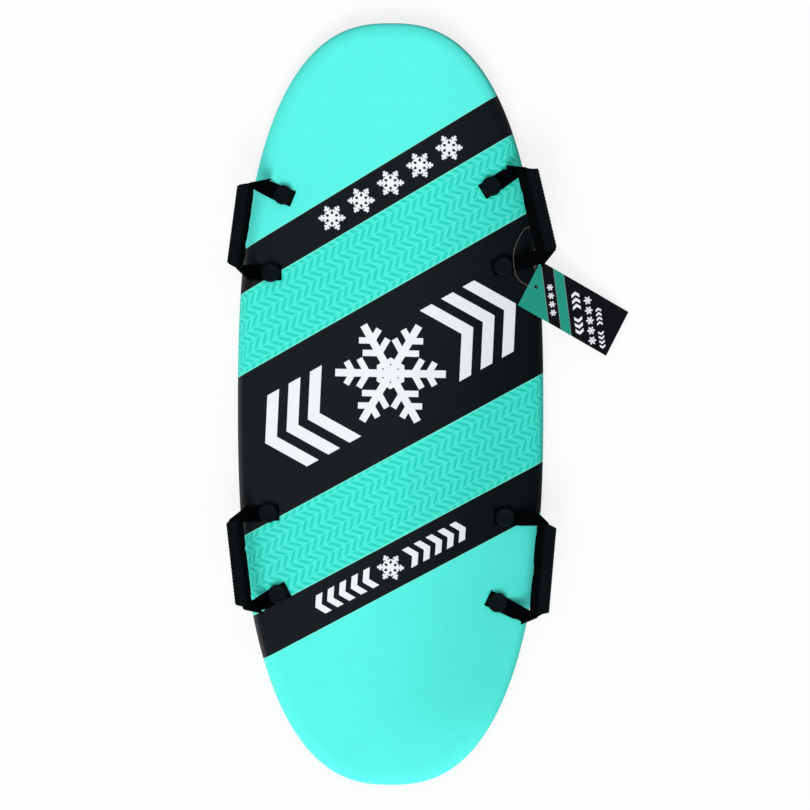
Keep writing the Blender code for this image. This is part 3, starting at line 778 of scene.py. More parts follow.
def cloth_finish(grip):
    """Fine knitted cloth, a little fuzzy, with painted light on its raised loops, painted paler beside the
    sewn edge where the light falls, and painted shade on its inner side, which faces the board.
    """
    surface = Surface("knitted_cloth", roughness=0.8, specular=0.04)
    across, along = surface.unrolled()
    wale, course = 0.0009, 0.0011
    slant = 1.6 * wale
    from_wale = (across / wale).from_middle()
    loops = (along + from_wale * slant).wave(course)
    height = loops * 0.6 + (1 - from_wale * 2) * 0.4
    fuzz = surface.grain(size=0.004, detail=4)
    # Painted light: the raised knit loops and fuzz are painted lighter and the hollows between them darker.
    lit = height * 0.6 + fuzz * 0.4
    dark, pale = [surface.shades(lit, lit_or_shaded, 0.75, 1.45) for lit_or_shaded in (grip.dark, grip.colour)]
    # Painted shade on the inner side of the sleeve, paler beside the sewn edge where the light falls
    surface.set("Base Color", surface.mix(across.within(grip.panel, grip.shade_fade / 2), dark, pale))
    surface.set("Roughness", 0.74 + fuzz * 0.16)
    surface.relief(height + fuzz * 0.5, depth=0.00018)
    return surface.material


def thread_finish(grip):
    """Twisted black thread."""
    surface = Surface("black_thread", roughness=0.6, specular=0.1)
    fibre = surface.grain(size=0.0004)
    surface.set("Base Color", surface.shades(fibre, grip.colour, 0.9, 1.9))
    surface.relief(fibre, depth=0.00008)
    return surface.material


def pad_finish(grip):
    """Open-celled foam inside the grips."""
    surface = Surface("grip_foam", roughness=0.9, specular=0.2)
    pores = surface.cells(size=0.0009)
    # Painted shade: the pores are painted darker in their hollow middles.
    surface.set("Base Color", surface.shades(pores.fade(0.2, 0.7), grip.foam, 0.6, 1.3))
    surface.relief(pores, depth=0.0002)
    return surface.material


def nylon_finish(loop):
    """Clear nylon, which shows faintly against what lies behind it."""
    surface = Surface("clear_nylon", roughness=0.35, specular=0.3)
    haze = surface.grain(size=0.004)
    surface.set("Alpha", loop.opacity)
    surface.set("Base Color", surface.shades(haze, loop.colour, 0.92, 1.05))
    surface.set("Roughness", 0.3 + haze * 0.12)
    return surface.material


def card_motifs(tag, slanted, run):
    """Distance from the card's snow crystals and chevrons, in slanted rows."""
    size = math.hypot(1, tag.stripe_lean)
    shapes = []
    for (centre, shift, *sizes), copies in ((tag.teal_crystals, 4), (tag.black_crystals, 5)):
        shapes.append(crystal_row((slanted - centre) / size, run + shift, *sizes, copies=copies))
    for (centre, shift, *sizes), copies in ((tag.large_chevrons, 3), (tag.small_chevrons, 4)):
        shapes.append(chevrons(run + shift, (slanted - centre) / size, *sizes, copies=copies))
    return shapes[0].lowest(*shapes[1:])


def card_finish(tag):
    """Coated card printed with slanted stripes, chevrons and snow crystals."""
    surface = Surface("printed_card", roughness=0.4, specular=0.08)
    along, across = surface.unrolled()
    size = math.hypot(1, tag.stripe_lean)
    slanted = along + across * tag.stripe_lean
    run = (across - (along - tag.rows_middle) * tag.stripe_lean) / size
    first, second, third = tag.stripe_places
    soft = tag.ink_softness
    bend, line_pitch = 0.004, 0.0024
    half_line, line_strength = 0.0003, 0.6
    near = (slanted - second).highest(first - slanted) / size
    black = near.lowest((third - slanted) / size)
    weave = ((along / bend).from_middle() * bend + across).wave(line_pitch)
    colour_now = surface.coats(
        surface.shades(weave * 0.5, tag.teal, 1, 0.85),
        (black.ink(soft), paint(tag.black)),
        ((abs(black) - half_line).ink(soft) * line_strength, paint(tag.paper, 0.5)),
        (card_motifs(tag, slanted, run).ink(soft), paint(tag.white)),
    )
    surface.set("Base Color", colour_now)
    fibre = surface.grain(size=0.0012, detail=3)
    surface.set("Roughness", 0.34 + fibre * 0.14)
    surface.relief(fibre, depth=0.00003)
    return surface.material


def floor_finish(stage):
    """Pale floor that keeps a soft shadow and shows nearly white to the camera."""
    surface = Surface("pale_floor", roughness=0.9, specular=0.1)
    surface.set("Base Color", paint(stage.floor_colour))
    glow = surface.node("ShaderNodeEmission", {}, {"Color": WHITE, "Strength": 1})
    seen = surface.node("ShaderNodeLightPath", {}, {}, "Is Camera Ray")
    mirrored = surface.node("ShaderNodeLightPath", {}, {}, "Is Glossy Ray")
    factor = seen.highest(mirrored) * stage.floor_glow
    shaders = {0: factor, 1: Wire(surface, surface.shader.outputs[0]), 2: glow}
    surface.finish("Material Output", surface.node("ShaderNodeMixShader", {}, shaders))
    return surface.material


def light_sky(stage):
    """Even light from all round, which the camera sees as white."""
    world = bpy.data.worlds.new("sky")
    bpy.context.scene.world = world
    world.use_nodes = True
    nodes = Nodes(world.node_tree)
    lit = nodes.node("ShaderNodeBackground", {}, {"Color": WHITE, "Strength": stage.sky_strength})
    white = nodes.node("ShaderNodeBackground", {}, {"Color": WHITE, "Strength": 1})
    seen = nodes.node("ShaderNodeLightPath", {}, {}, "Is Camera Ray")
    nodes.finish("World Output", nodes.node("ShaderNodeMixShader", {}, {0: seen, 1: lit, 2: white}))


# Mesh making


def smooth(value):
    """Ease a share from 0 to 1, level at both ends."""
    eased = min(max(value, 0), 1)
    return eased * eased * (3 - 2 * eased)


def signed_power(value, power):
    return math.copysign(abs(value) ** power, value)


def spread(first, last, steps):
    """Numbers at equal steps from the first to the last."""
    return [first + (last - first) * step / steps for step in range(steps + 1)]


def oval_point(turn, power):
    """Point of an oval within one unit of its middle, at an angle; a power of 2 makes it round."""
    return signed_power(math.cos(turn), 2 / power), signed_power(math.sin(turn), 2 / power)


def arc(centre, radius, first, last, steps):
    """Points on part of a circle, from one angle to another."""
    out, height = centre
    turns = spread(first, last, steps)
    return [(out + radius * math.cos(turn), height + radius * math.sin(turn)) for turn in turns]


def finished_mesh(name, bm):
    bmesh.ops.recalc_face_normals(bm, faces=bm.faces)
    mesh = bpy.data.meshes.new(name)
    bm.to_mesh(mesh)
    bm.free()
    return mesh


def fill_ring(bm, ring):
    bm.faces.new(ring)


def fill_rows(bm, ring):
    """Close a board outline with rows from its left edge to its right edge."""
    size = len(ring)
    for row in range(size // 2):
        corners = [ring[row], ring[row + 1], ring[(-row - 1) % size], ring[-row % size]]
        bm.faces.new(list(dict.fromkeys(corners)))


def add_skin(bm, rings, mark=None, tube=False, fill=fill_ring):
    """Join rings of points into a closed skin, with filled ends or round as a hollow tube.

    A mark gives the flat cloth's two coordinates for a ring and a point of it.
    """
    flat = bm.loops.layers.uv.active
    loops = [[bm.verts.new(point) for point in ring] for ring in rings]
    size = len(rings[0])
    for row in range(len(rings) if tube else len(rings) - 1):
        for index in range(size):
            corners = [(row, index), (row, index + 1), (row + 1, index + 1), (row + 1, index)]
            face = bm.faces.new([loops[ring % len(rings)][point % size] for ring, point in corners])
            if mark:
                for corner, (ring, point) in zip(face.loops, corners):
                    corner[flat].uv = mark(ring, point)
    if not tube:
        fill(bm, loops[0])
        fill(bm, loops[-1])


def skinned(name, rings, **options):
    """A mesh of one skin, with room for the flat cloth's coordinates."""
    bm = bmesh.new()
    bm.loops.layers.uv.new("UVMap")
    add_skin(bm, rings, **options)
    return finished_mesh(name, bm)


def turned(name, profile, segments, places):
    """Spin a profile of radius and height about an upright axis, once at each place."""
    bm = bmesh.new()
    for centre in places:
        points = [bm.verts.new(centre + Vector((radius, 0, height))) for radius, height in profile]
        edges = [bm.edges.new(pair) for pair in zip(points, points[1:])]
        bmesh.ops.spin(
            bm, geom=points + edges, cent=centre, axis=UP, angle=math.tau, steps=segments, use_duplicate=False
        )
    bmesh.ops.remove_doubles(bm, verts=bm.verts, dist=SAME_POINT)
    return finished_mesh(name, bm)


def placed(name, data):
    """Put an object in the scene."""
    thing = bpy.data.objects.new(name, data)
    bpy.context.scene.collection.objects.link(thing)
    return thing


def shade(mesh):
    """Smooth shading, with sharp edges where the surface turns hard."""
    mesh.shade_smooth()
    mesh.set_sharp_from_angle(angle=SHARP_ANGLE)


def add_piece(name, mesh, material):
    """Put a mesh in the scene as one piece of a material."""
    mesh.materials.append(material)
    shade(mesh)
    return placed(name, mesh)


def cut_holes(piece, cutter_mesh):
    """Cut a mesh out of a piece for good."""
    cutter = placed("cutter", cutter_mesh)
    modifier = piece.modifiers.new("holes", "BOOLEAN")
    modifier.operation = "DIFFERENCE"
    modifier.object = cutter
    graph = bpy.context.evaluated_depsgraph_get()
    piece.data = bpy.data.meshes.new_from_object(piece.evaluated_get(graph))
    piece.modifiers.clear()
    bpy.data.objects.remove(cutter)
    shade(piece.data)


def node_middle(name):
    low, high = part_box(name)
    return (low + high) / 2


def joint_of(body):
    """The joint that moves a body."""
    return next(joint for joint in frame["joints"] if joint["child"] == body)


# The board


class Board:
    """Sizes of the board, from the frame, and the rings that wrap it."""

    def __init__(self, deck):
        low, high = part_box("deck_skin")
        self.half_width = (high.x - low.x) / 2
        self.half_length = (high.y - low.y) / 2
        self.thickness = high.z
        self.deck = deck

    def base_height(self, y):
        past = max(0, (abs(y) - self.half_length + self.deck.scoop_length) / self.deck.scoop_length)
        return self.deck.scoop_rise * past * past

    def ring(self, turn_down, depth):
        """One ring round the board, at an angle of the rail and a depth under its surface."""
        deck = self.deck
        width = deck.rail_top_width if turn_down > 0 else deck.rail_lower_width
        height_share = 1 - deck.rail_widest if turn_down > 0 else deck.rail_widest
        inset = width - (width - depth) * math.cos(turn_down)
        height = deck.rail_widest + height_share * math.sin(turn_down)
        points = []
        for turn in spread(0, math.tau, deck.outline_points)[:-1]:
            ahead, across = oval_point(turn, deck.outline_power)
            outward = Vector((
                signed_power(across, deck.outline_power - 1) / self.half_width,
                signed_power(ahead, deck.outline_power - 1) / self.half_length,
            )).normalized()
            x = self.half_width * across - inset * outward.x
            y = self.half_length * ahead - inset * outward.y
            floor = self.base_height(y)
            rise = height * (self.thickness - floor) - depth * math.sin(turn_down)
            points.append(Vector((x, y, floor + rise)))
        return points


def rivet_spots():
    """Name and ground point of every rivet."""
    for handle in HANDLES:
        for row in ROWS:
            middle = node_middle(f"rivet_cap_{handle}_{row}")
            yield f"{handle}_{row}", Vector((middle.x, middle.y, 0))


class RivetSizes:
    """Radii and heights of a rivet, its socket and its hole, most of them from the frame."""

    LIP = 0.6 * MILLIMETRE

    def __init__(self, rivet):
        cap_low, cap_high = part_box(f"rivet_cap_{HANDLES[0]}_outer")
        plug_low, plug_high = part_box(f"rivet_plug_{HANDLES[0]}_outer")
        self.rivet = rivet
        self.head_radius = (cap_high.x - cap_low.x) / 2
        self.head_top = cap_high.z
        self.shank_foot = cap_low.z
        self.flange_radius = (plug_high.x - plug_low.x) / 2
        self.flange_foot = plug_low.z
        self.flange_top = plug_low.z + rivet.flange
        self.socket_top = plug_high.z
        self.bore = rivet.shank_radius + rivet.clearance
        self.socket_radius = self.bore + rivet.socket_wall

    def head(self, foot):
        """Profile of the round head, a little dished, on its shank."""
        rivet, lip, shoulder = self.rivet, self.LIP, self.rivet.shoulder
        flat = self.head_radius - shoulder
        dished = []
        for passed in spread(0, 1, steps=8)[1:]:
            dished.append((flat * (1 - passed), self.head_top - rivet.dish * smooth(passed * 2.2)))
        return [
            (0, self.shank_foot),
            (rivet.shank_radius - lip, self.shank_foot),
            (rivet.shank_radius, self.shank_foot + lip),
            (rivet.shank_radius, foot),
            *arc((self.head_radius - lip, foot + lip), lip, -QUARTER_TURN, 0, steps=4),
            *arc((flat, self.head_top - shoulder), shoulder, 0, QUARTER_TURN, steps=10),
            *dished,
        ]

    def socket(self):
        """Profile of the flanged socket that takes the shank from below."""
        chamfer = self.LIP / 2
        floor = self.shank_foot - self.rivet.clearance
        return [
            (0, self.flange_foot),
            (self.flange_radius - chamfer, self.flange_foot),
            (self.flange_radius, self.flange_foot + chamfer),
            (self.flange_radius, self.flange_top),
            (self.socket_radius, self.flange_top),
            (self.socket_radius, self.socket_top),
            (self.bore, self.socket_top),
            (self.bore, floor),
            (0, floor),
        ]

    def hole(self, board):
        """Profile of the stepped hole through the slick and the deck."""
        over = 2 * MILLIMETRE
        wide = self.flange_radius + self.rivet.clearance
        step = self.flange_top + self.rivet.clearance
        top = board.thickness + over
        return [(0, -over), (wide, -over), (wide, step), (self.bore, step), (self.bore, top), (0, top)]


def rivet_holes(rivet, board):
    spots = [spot for name, spot in rivet_spots()]
    return turned("rivet_holes", RivetSizes(rivet).hole(board), rivet.segments, spots)


# Handles

# Steps round the roll of a strap into its grip, round half of a sleeve, and along it
ROLL_STEPS = 14
SLEEVE_SIDE_STEPS = 22
SLEEVE_STEPS = 72

# How often the noise of a strap, of a sleeve's ripples and of its creases changes in a metre
WAVERS = 40
RIPPLES = Vector((60, 90, 45))
CREASES = Vector((210, 260, 150))

# What sets the noise of one handle apart from the next one's
WAVER_SEED = 30
SLEEVE_SEED = 37


class Handle:
    """Directions and bends of one strap handle."""

    def __init__(self, name, strap, grip):
        self.name = name
        self.strap = strap
        outer = node_middle(f"rivet_cap_{name}_outer")
        inner = node_middle(f"rivet_cap_{name}_inner")
        self.fold = Vector(joint_of(f"handle_{name}")["pos_m"])
        self.along = Vector((outer.x - inner.x, outer.y - inner.y, 0)).normalized()
        self.half_spacing = Vector((outer.x - inner.x, outer.y - inner.y)).length / 2
        middle = (outer + inner) / 2
        out = self.fold - middle
        self.out_length = Vector((out.x, out.y)).length
        self.out = Vector((out.x, out.y, 0)).normalized()
        self.lift = grip.right_lift if name.endswith("right") else grip.left_lift
        index = HANDLES.index(name)
        self.reach = grip.reaches[index]
        self.offset = grip.offsets[index]
        self.length = grip.lengths[index]
        self.lean = grip.leans[index]
        self.width = grip.widths[index]
        self.slant = grip.slant
        self.half_width = self.width / 2
        self.sewn_edge = -self.half_width - grip.fin
        self.headings = {"outer": strap.outer_headings[index], "inner": -strap.inner_headings[index]}
        self.creases = {"outer": strap.outer_creases[index], "inner": strap.inner_creases[index]}
        self.shifts = {"outer": strap.outer_shifts[index], "inner": strap.inner_shifts[index]}

    def sleeve_point(self, inward, rise, along):
        """Place of a point of the slanted, leaning sleeve, with the strap laid out flat."""
        slanted = along * (1 + self.slant / self.length * (1 + inward / self.half_width))
        sine, cosine = math.sin(self.lean), math.cos(self.lean)
        x = self.reach - inward * cosine + slanted * sine
        y = self.offset + inward * sine + slanted * cosine
        return Vector((x, y, 2 * self.strap.roll_radius + rise))

    def inside_grip(self, along):
        """Station of the gathered strap in the sleeve."""
        step = self.sleeve_point(-1, 0, along) - self.sleeve_point(0, 0, along)
        return self.sleeve_point(0, 0, along), step * self.strap.gathered, UP

    def world(self, out, along, up):
        return self.fold + self.out * out + self.along * along + UP * up

    def sewn(self, inward, rise, along):
        """Place in the world of a point of the sleeve."""
        return self.bent(self.sleeve_point(inward, rise, along))

    def bent(self, point):
        """Place in the world of a point on the strap laid out flat.

        Its numbers are how far it lies out from the fold line, along it, and off the strap.
        """
        strap = self.strap
        cosine, sine = math.cos(self.lift), math.sin(self.lift)
        if point.x <= -strap.fold_before:
            return self.world(point.x, point.y, point.z - strap.rise)
        if point.x >= strap.fold_after:
            out = point.x * cosine - point.z * sine
            return self.world(out, point.y, point.x * sine + point.z * cosine)
        covered = strap.fold_before + strap.fold_after
        passed = (point.x + strap.fold_before) / covered
        level = Vector((covered / 3, 0))
        raised = Vector((cosine, sine))
        start = Vector((-strap.fold_before, -strap.rise))
        finish = raised * strap.fold_after
        corners = [start, start + level, finish - raised * (covered / 3), finish]
        spot, heading = on_curve(corners, passed)
        return self.world(spot.x - heading.y * point.z, point.y, spot.y + heading.x * point.z)


def on_curve(points, passed):
    """Point and direction on a four-point curve."""
    while len(points) > 2:
        points = [before.lerp(after, passed) for before, after in zip(points, points[1:])]
    first, last = points
    return first.lerp(last, passed), (last - first).normalized()


def strap_leg(handle, strap, row):
    """Stations of the strap from its free end to the mouth of the grip, laid out flat.

    Each station is a middle point, the step across for each metre of width, and the
    direction off the strap. The leg lies flat as far as a slanted crease, where it rolls
    over and gathers into the grip. The inner leg is drawn as if it were an outer one.
    """
    flip = Vector((1, 1 if row == "outer" else -1, 1))
    slope = math.tan(handle.headings[row])
    heading = Vector((1, slope, 0)).normalized()
    square = Vector((heading.y, -heading.x, 0))
    fold_y = handle.half_spacing + handle.out_length * slope
    tail_x = -handle.out_length - strap.tail * heading.x
    stations = []
    for x in spread(tail_x, 0, round(-tail_x / strap.step))[:-1]:
        sheared = smooth((x + handle.out_length) / (handle.out_length - strap.fold_before))
        stations.append((Vector((x, fold_y + x * slope, 0)), square - heading * slope * sheared, -UP))

    slope *= math.cos(handle.lift)
    heading = Vector((1, slope, 0)).normalized()
    square = Vector((heading.y, -heading.x, 0))
    fall = handle.creases[row]
    line = Vector((math.cos(fall), -math.sin(fall), 0))
    onward = Vector((math.sin(fall), math.cos(fall), 0))
    corner = handle.sleeve_point(handle.sewn_edge, 0, handle.length / 2 * flip.y) * flip
    bulge = strap.roll_radius + strap.thickness / 2 - handle.shifts[row]
    first = Vector((0, fold_y, 0))
    to_crease = (corner - first).dot(onward) - bulge
    last = first + heading * (to_crease / heading.dot(onward))
    crease = line / heading.dot(onward) * strap.pinch
    slant = heading.dot(line) / heading.dot(onward)
    for passed in spread(0, 1, round(last.x / strap.step)):
        eased = smooth(passed)
        shear = slant * eased - slope * (1 - eased)
        narrowed = 1 - (1 - strap.pinch) * eased
        stations.append((first.lerp(last, passed), (square + heading * shear) * narrowed, -UP))
    mouth, across = handle.inside_grip(handle.length / 2 * flip.y)[:2]
    for turn in spread(0, math.pi, ROLL_STEPS)[1:]:
        off = onward * math.sin(turn) - UP * math.cos(turn)
        rolled = last + (off + UP) * strap.roll_radius
        gather = smooth(turn / QUARTER_TURN - 1)
        stations.append((rolled.lerp(mouth * flip, gather), crease.lerp(across * flip, gather), off))
    return [tuple(vector * flip for vector in station) for station in stations]


def strap_section(strap):
    """Corners of the webbing's rounded cross-section, as places across and off it."""
    half = strap.width / 2
    thick = strap.thickness / 2
    side = [(half, 0), (half - 0.35 * thick, 0.7 * thick), (half - 1.1 * thick, thick)]
    top = [(across, thick) for across in spread(half, -half, steps=6)[1:-1]]
    upper = side + top + [(-across, off) for across, off in reversed(side)]
    lower = [(across, -off) for across, off in reversed(upper[1:-1])]
    return upper + lower


def strap_mesh(handle, strap):
    """One ribbon from the outer rivet, through the grip, to the inner rivet."""
    half = handle.length / 2
    through = [handle.inside_grip(along) for along in spread(half, -half, round(half / strap.step))[1:-1]]
    inner = strap_leg(handle, strap, "inner")
    stations = strap_leg(handle, strap, "outer") + through + inner[::-1]
    section = strap_section(strap)
    travelled = [0]
    leads = []
    for (middle, width, off), following in zip(stations, stations[1:]):
        step = following[0] - middle
        leads.append(width.dot(step.normalized()))
        travelled.append(travelled[-1] + step.length)
    leads.append(leads[-1])
    rings = []
    for middle, width, off in stations:
        waver = noise.noise(middle * WAVERS + handle.fold * WAVER_SEED) * smooth(middle.x / handle.reach)
        wobble = waver * strap.waver
        ring = [middle + width * across + off * (thick + wobble) for across, thick in section]
        rings.append([handle.bent(point) for point in ring])

    def mark(ring, point):
        across = section[point % len(section)][0]
        return across, travelled[ring] + leads[ring] * across

    return skinned(f"strap_{handle.name}", rings, mark=mark)


def sleeve_section(grip, thickness, width, fin, fin_half, neck_start):
    """Cross-section of a sleeve: an oval drawn out to a sewn edge on its outer side.

    Each point is how far it lies in from the sleeve's middle, and how far above it.
    """
    upper = []
    for turn in spread(0, math.pi, SLEEVE_SIDE_STEPS):
        inward, rise = oval_point(turn, grip.power)
        neck = smooth((-inward - neck_start) / (1 - neck_start))
        upper.append((inward * width / 2, rise * thickness / 2 * (1 - neck) + fin_half * neck))
    upper.append((-width / 2 - fin * 0.6, fin_half * 0.95))
    upper.append((-width / 2 - fin, fin_half * 0.55))
    lower = [(inward, -rise) for inward, rise in reversed(upper[1:])]
    return upper + lower


def sleeve_outline(handle, grip):
    """Cross-section of a sleeve's outside."""
    sizes = (grip.thickness, handle.width, grip.fin, grip.fin_thickness / 2)
    return sleeve_section(grip, *sizes, neck_start=0.72)


def sleeve_lining(handle, grip):
    """Cross-section of a sleeve's inside, with hardly an edge."""
    cloth = 2 * grip.cloth
    sizes = (grip.thickness - cloth, handle.width - cloth, 0.2 * MILLIMETRE, 0.3 * MILLIMETRE)
    return sleeve_section(grip, *sizes, neck_start=0.97)


def sleeve_mesh(handle, grip):
    """Cloth sleeve with a sewn edge, turned-in hems and soft creases."""
    half = handle.length / 2
    hem = 6 * MILLIMETRE
    soft_edge = 1.5 * MILLIMETRE
    serration = 0.3 * MILLIMETRE
    groove_depth, end_taper = 0.05, 0.10
    plump, ripple_depth, crease_depth = 1.01, 0.05, 0.02
    edge_start = 0.7
    outside = sleeve_outline(handle, grip)
    seed = handle.fold * SLEEVE_SEED
    rings = []
    alongs = spread(-half, half, SLEEVE_STEPS)
    for along in alongs:
        from_end = half - abs(along)
        groove = math.exp(-((from_end - hem) / soft_edge) ** 2)
        drawn_in = 1 - groove_depth * groove - end_taper * (1 - smooth(from_end / soft_edge))
        tooth = serration * math.cos(math.tau * along / grip.stitch)
        ring = []
        for inward, rise in outside:
            edge = smooth((-inward / handle.half_width - edge_start) / (1 - edge_start))
            spot = Vector((inward, rise, along))
            ripple = noise.noise(spot * RIPPLES + seed)
            crease = noise.noise(spot * CREASES + seed)
            swell = plump + ripple_depth * ripple + crease_depth * crease
            across = inward * (1 - (1 - drawn_in) * (1 - edge) * 0.5) - tooth * edge
            ring.append(handle.sewn(across, rise * drawn_in * swell, along))
        rings.append(ring)
    for along in (half, -half):
        rings.append([handle.sewn(inward, rise, along) for inward, rise in sleeve_lining(handle, grip)])
    alongs += [half + grip.cloth, -half - grip.cloth]
    around = [0]
    for (x0, z0), (x1, z1) in zip(outside, outside[1:] + outside[:1]):
        around.append(around[-1] + math.hypot(x1 - x0, z1 - z0))

    def mark(ring, point):
        return around[point] - around[-1] / 2, alongs[ring % len(alongs)]

    return skinned(f"grip_sleeve_{handle.name}", rings, mark=mark, tube=True)


def sleeve_seams(sleeve, handle, grip):
    """Points of a sleeve that stay where they are: the sewn edge, the lining and the ends."""
    section = sleeve_outline(handle, grip)
    loose_edge = -0.6 * handle.half_width
    for index in range(len(sleeve.data.vertices)):
        row, point = divmod(index, len(section))
        if row == 0 or row >= SLEEVE_STEPS or section[point][0] < loose_edge:
            yield index


def settle_cloth(sleeves, grip):
    """Fill the sleeves with a little pressure and let their slack cloth settle into folds."""
    for handle, sleeve in sleeves:
        seams = sleeve.vertex_groups.new(name="seams")
        seams.add(list(sleeve_seams(sleeve, handle, grip)), 1, "REPLACE")
        modifier = sleeve.modifiers.new("cloth", "CLOTH")
        modifier.point_cache.frame_end = grip.cloth_frames
        settings = modifier.settings
        settings.vertex_group_mass = seams.name
        settings.mass = grip.cloth_mass
        settings.use_pressure = True
        settings.uniform_pressure_force = grip.cloth_pressure
        settings.shrink_min = -grip.cloth_slack
        settings.effector_weights.gravity = 0
    for number_of_frame in range(1, grip.cloth_frames + 1):
        bpy.context.scene.frame_set(number_of_frame)
    graph = bpy.context.evaluated_depsgraph_get()
    for handle, sleeve in sleeves:
        settled = [vertex.co.copy() for vertex in sleeve.evaluated_get(graph).data.vertices]
        for vertex, place_now in zip(sleeve.data.vertices, settled):
            step = place_now - vertex.co
            if step.length > grip.cloth_limit:
                step = step.normalized() * grip.cloth_limit
            vertex.co += step
        sleeve.modifiers.clear()
        sleeve.vertex_groups.clear()
    bpy.context.scene.frame_set(1)


def pad_mesh(handle, grip, strap):
    """Foam sleeve inside the cloth, with a slot for the strap."""
    half = handle.length / 2 - grip.inset
    gap = 0.3 * MILLIMETRE
    slack = 0.7 * MILLIMETRE
    shell = 2 * (grip.cloth + gap)
    slot_power = 4

    def oval(thickness, width, power):
        points = [oval_point(turn, power) for turn in spread(0, math.tau, steps=40)[:-1]]
        return [(width / 2 * inward, thickness / 2 * rise) for inward, rise in points]

    outside = oval(grip.thickness - shell, handle.width - shell, grip.power)
    inside = oval(strap.thickness + 2 * slack, strap.width * strap.gathered + 2 * slack, slot_power)
    rings = []
    alongs = spread(-half, half, steps=8)
    for profile, stations in ((outside, alongs), (inside, alongs[::-1])):
        for along in stations:
            rings.append([handle.sewn(inward, rise, along) for inward, rise in profile])
    return skinned(f"grip_foam_{handle.name}", rings, tube=True)


def thread_rings(points, radius):
    """Rings of a round thread through points, with narrower ends."""
    sides, narrow = 6, 0.55
    rings = []
    for index, point in enumerate(points):
        before = points[max(0, index - 1)]
        after = points[min(len(points) - 1, index + 1)]
        heading = (after - before).normalized()
        side = heading.orthogonal().normalized() * radius
        other = heading.cross(side)
        swell = narrow if index in (0, len(points) - 1) else 1
        turns = spread(0, math.tau, sides)[:-1]
        rings.append([point + (side * math.cos(turn) + other * math.sin(turn)) * swell for turn in turns])
    return rings


def stitch_mesh(handle, grip):
    """Thread wrapped over the sleeve's sewn edge."""
    bm = bmesh.new()
    radius = grip.thread / 2
    end_margin = 2 * MILLIMETRE
    inside = 0.6 * MILLIMETRE
    fin_half = grip.fin_thickness / 2
    foot = -handle.half_width
    tip = foot - grip.fin - radius * 0.5
    lean = 0.28 * grip.stitch
    half_way = foot - 0.45 * grip.fin
    copies = round((handle.length - 2 * end_margin) / grip.stitch)
    for index in range(copies):
        along = (index + 0.5 - copies / 2) * grip.stitch
        wrap = [
            (foot + inside, fin_half * 1.25, -lean),
            (half_way, fin_half + radius * 0.6, -lean * 0.5),
            (tip, fin_half * 0.62, 0),
            (tip, -fin_half * 0.62, 0),
            (half_way, -fin_half - radius * 0.6, lean * 0.5),
            (foot + inside, -fin_half * 1.25, lean),
        ]
        points = [handle.sewn(inward, rise, along + ahead) for inward, rise, ahead in wrap]
        add_skin(bm, thread_rings(points, radius))
    return finished_mesh(f"grip_stitches_{handle.name}", bm)


# Hang tag


def tag_frame(tag):
    """Place of the card's hole, with the card's length, width and face as axes."""
    joint = joint_of("tag")
    face = Vector(joint["axis"]).normalized()
    level = Vector((face.z, 0, -face.x)).normalized()
    across = face.cross(level)
    length_axis = level * math.cos(tag.heading) + across * math.sin(tag.heading)
    width_axis = face.cross(length_axis)
    return Vector(joint["pos_m"]), length_axis, width_axis, face


def card_mesh(tag):
    """A thin card with a punched hole, gently bowed along its length."""
    centre, length_axis, width_axis, face = tag_frame(tag)
    near = -tag.hole_inset
    far = tag.length - tag.hole_inset
    half = tag.width / 2
    half_thickness = tag.thickness / 2
    rows = spread(-half, half, steps=20)
    section = [(y, half_thickness) for y in rows] + [(y, -half_thickness) for y in reversed(rows)]
    rings = [[(x, y, height) for y, height in section] for x in spread(near, far, steps=48)]
    card = add_piece("tag_card", skinned("tag_card", rings), card_finish(tag))
    reach = 2 * MILLIMETRE
    profile = [(0, -reach), (tag.hole_radius, -reach), (tag.hole_radius, reach), (0, reach)]
    cut_holes(card, turned("punch", profile, segments=32, places=[Vector()]))
    mesh = card.data
    for loop in mesh.loops:
        mesh.uv_layers[0].data[loop.index].uv = mesh.vertices[loop.vertex_index].co.xy
    for vertex in mesh.vertices:
        x, y, height = vertex.co
        passed = (x - near) / (far - near)
        bow = tag.bow * math.sin(math.pi * smooth(passed))
        vertex.co = centre + length_axis * x + width_axis * y + face * (height + bow)
    return card


# Nylon loop

# The loop's route from the lock and back, measured from the rivet beside it at the deck's height
LOOP_ROUTE = [
    (0.0396, -0.0068, -0.0041),
    (0.0402, -0.0128, -0.0042),
    (0.0412, -0.0193, -0.0039),
    (0.0419, -0.0242, -0.0029),
    (0.0415, -0.0264, -0.0010),
    (0.0392, -0.0274, 0.0010),
    (0.0346, -0.0266, 0.0029),
    (0.0281, -0.0232, 0.0042),
    (0.0216, -0.0190, 0.0046),
    (0.0168, -0.0132, 0.0043),
    (0.0143, -0.0066, 0.0039),
    (0.0133, 0.0000, 0.0037),
    (0.0128, 0.0066, 0.0038),
    (0.0127, 0.0135, 0.0033),
    (0.0149, 0.0232, 0.0016),
    (0.0196, 0.0342, 0.0010),
    (0.0256, 0.0442, 0.0008),
    (0.0316, 0.0477, -0.0002),
    (0.0362, 0.0427, -0.0020),
    (0.0384, 0.0332, -0.0034),
    (0.0392, 0.0232, -0.0038),
    (0.0392, 0.0142, -0.0037),
]


def smooth_route(points, steps):
    """Points close together on a smooth curve through a route's own points."""
    padded = [2 * points[0] - points[1], *points, 2 * points[-1] - points[-2]]
    fine = []
    for before, start, end, after in zip(padded, padded[1:], padded[2:], padded[3:]):
        for step in range(steps):
            passed = step / steps
            bend = (2 * before - 5 * start + 4 * end - after) * passed ** 2
            turn = (3 * start - before - 3 * end + after) * passed ** 3
            fine.append((2 * start + (end - before) * passed + bend + turn) / 2)
    return fine + [points[-1]]


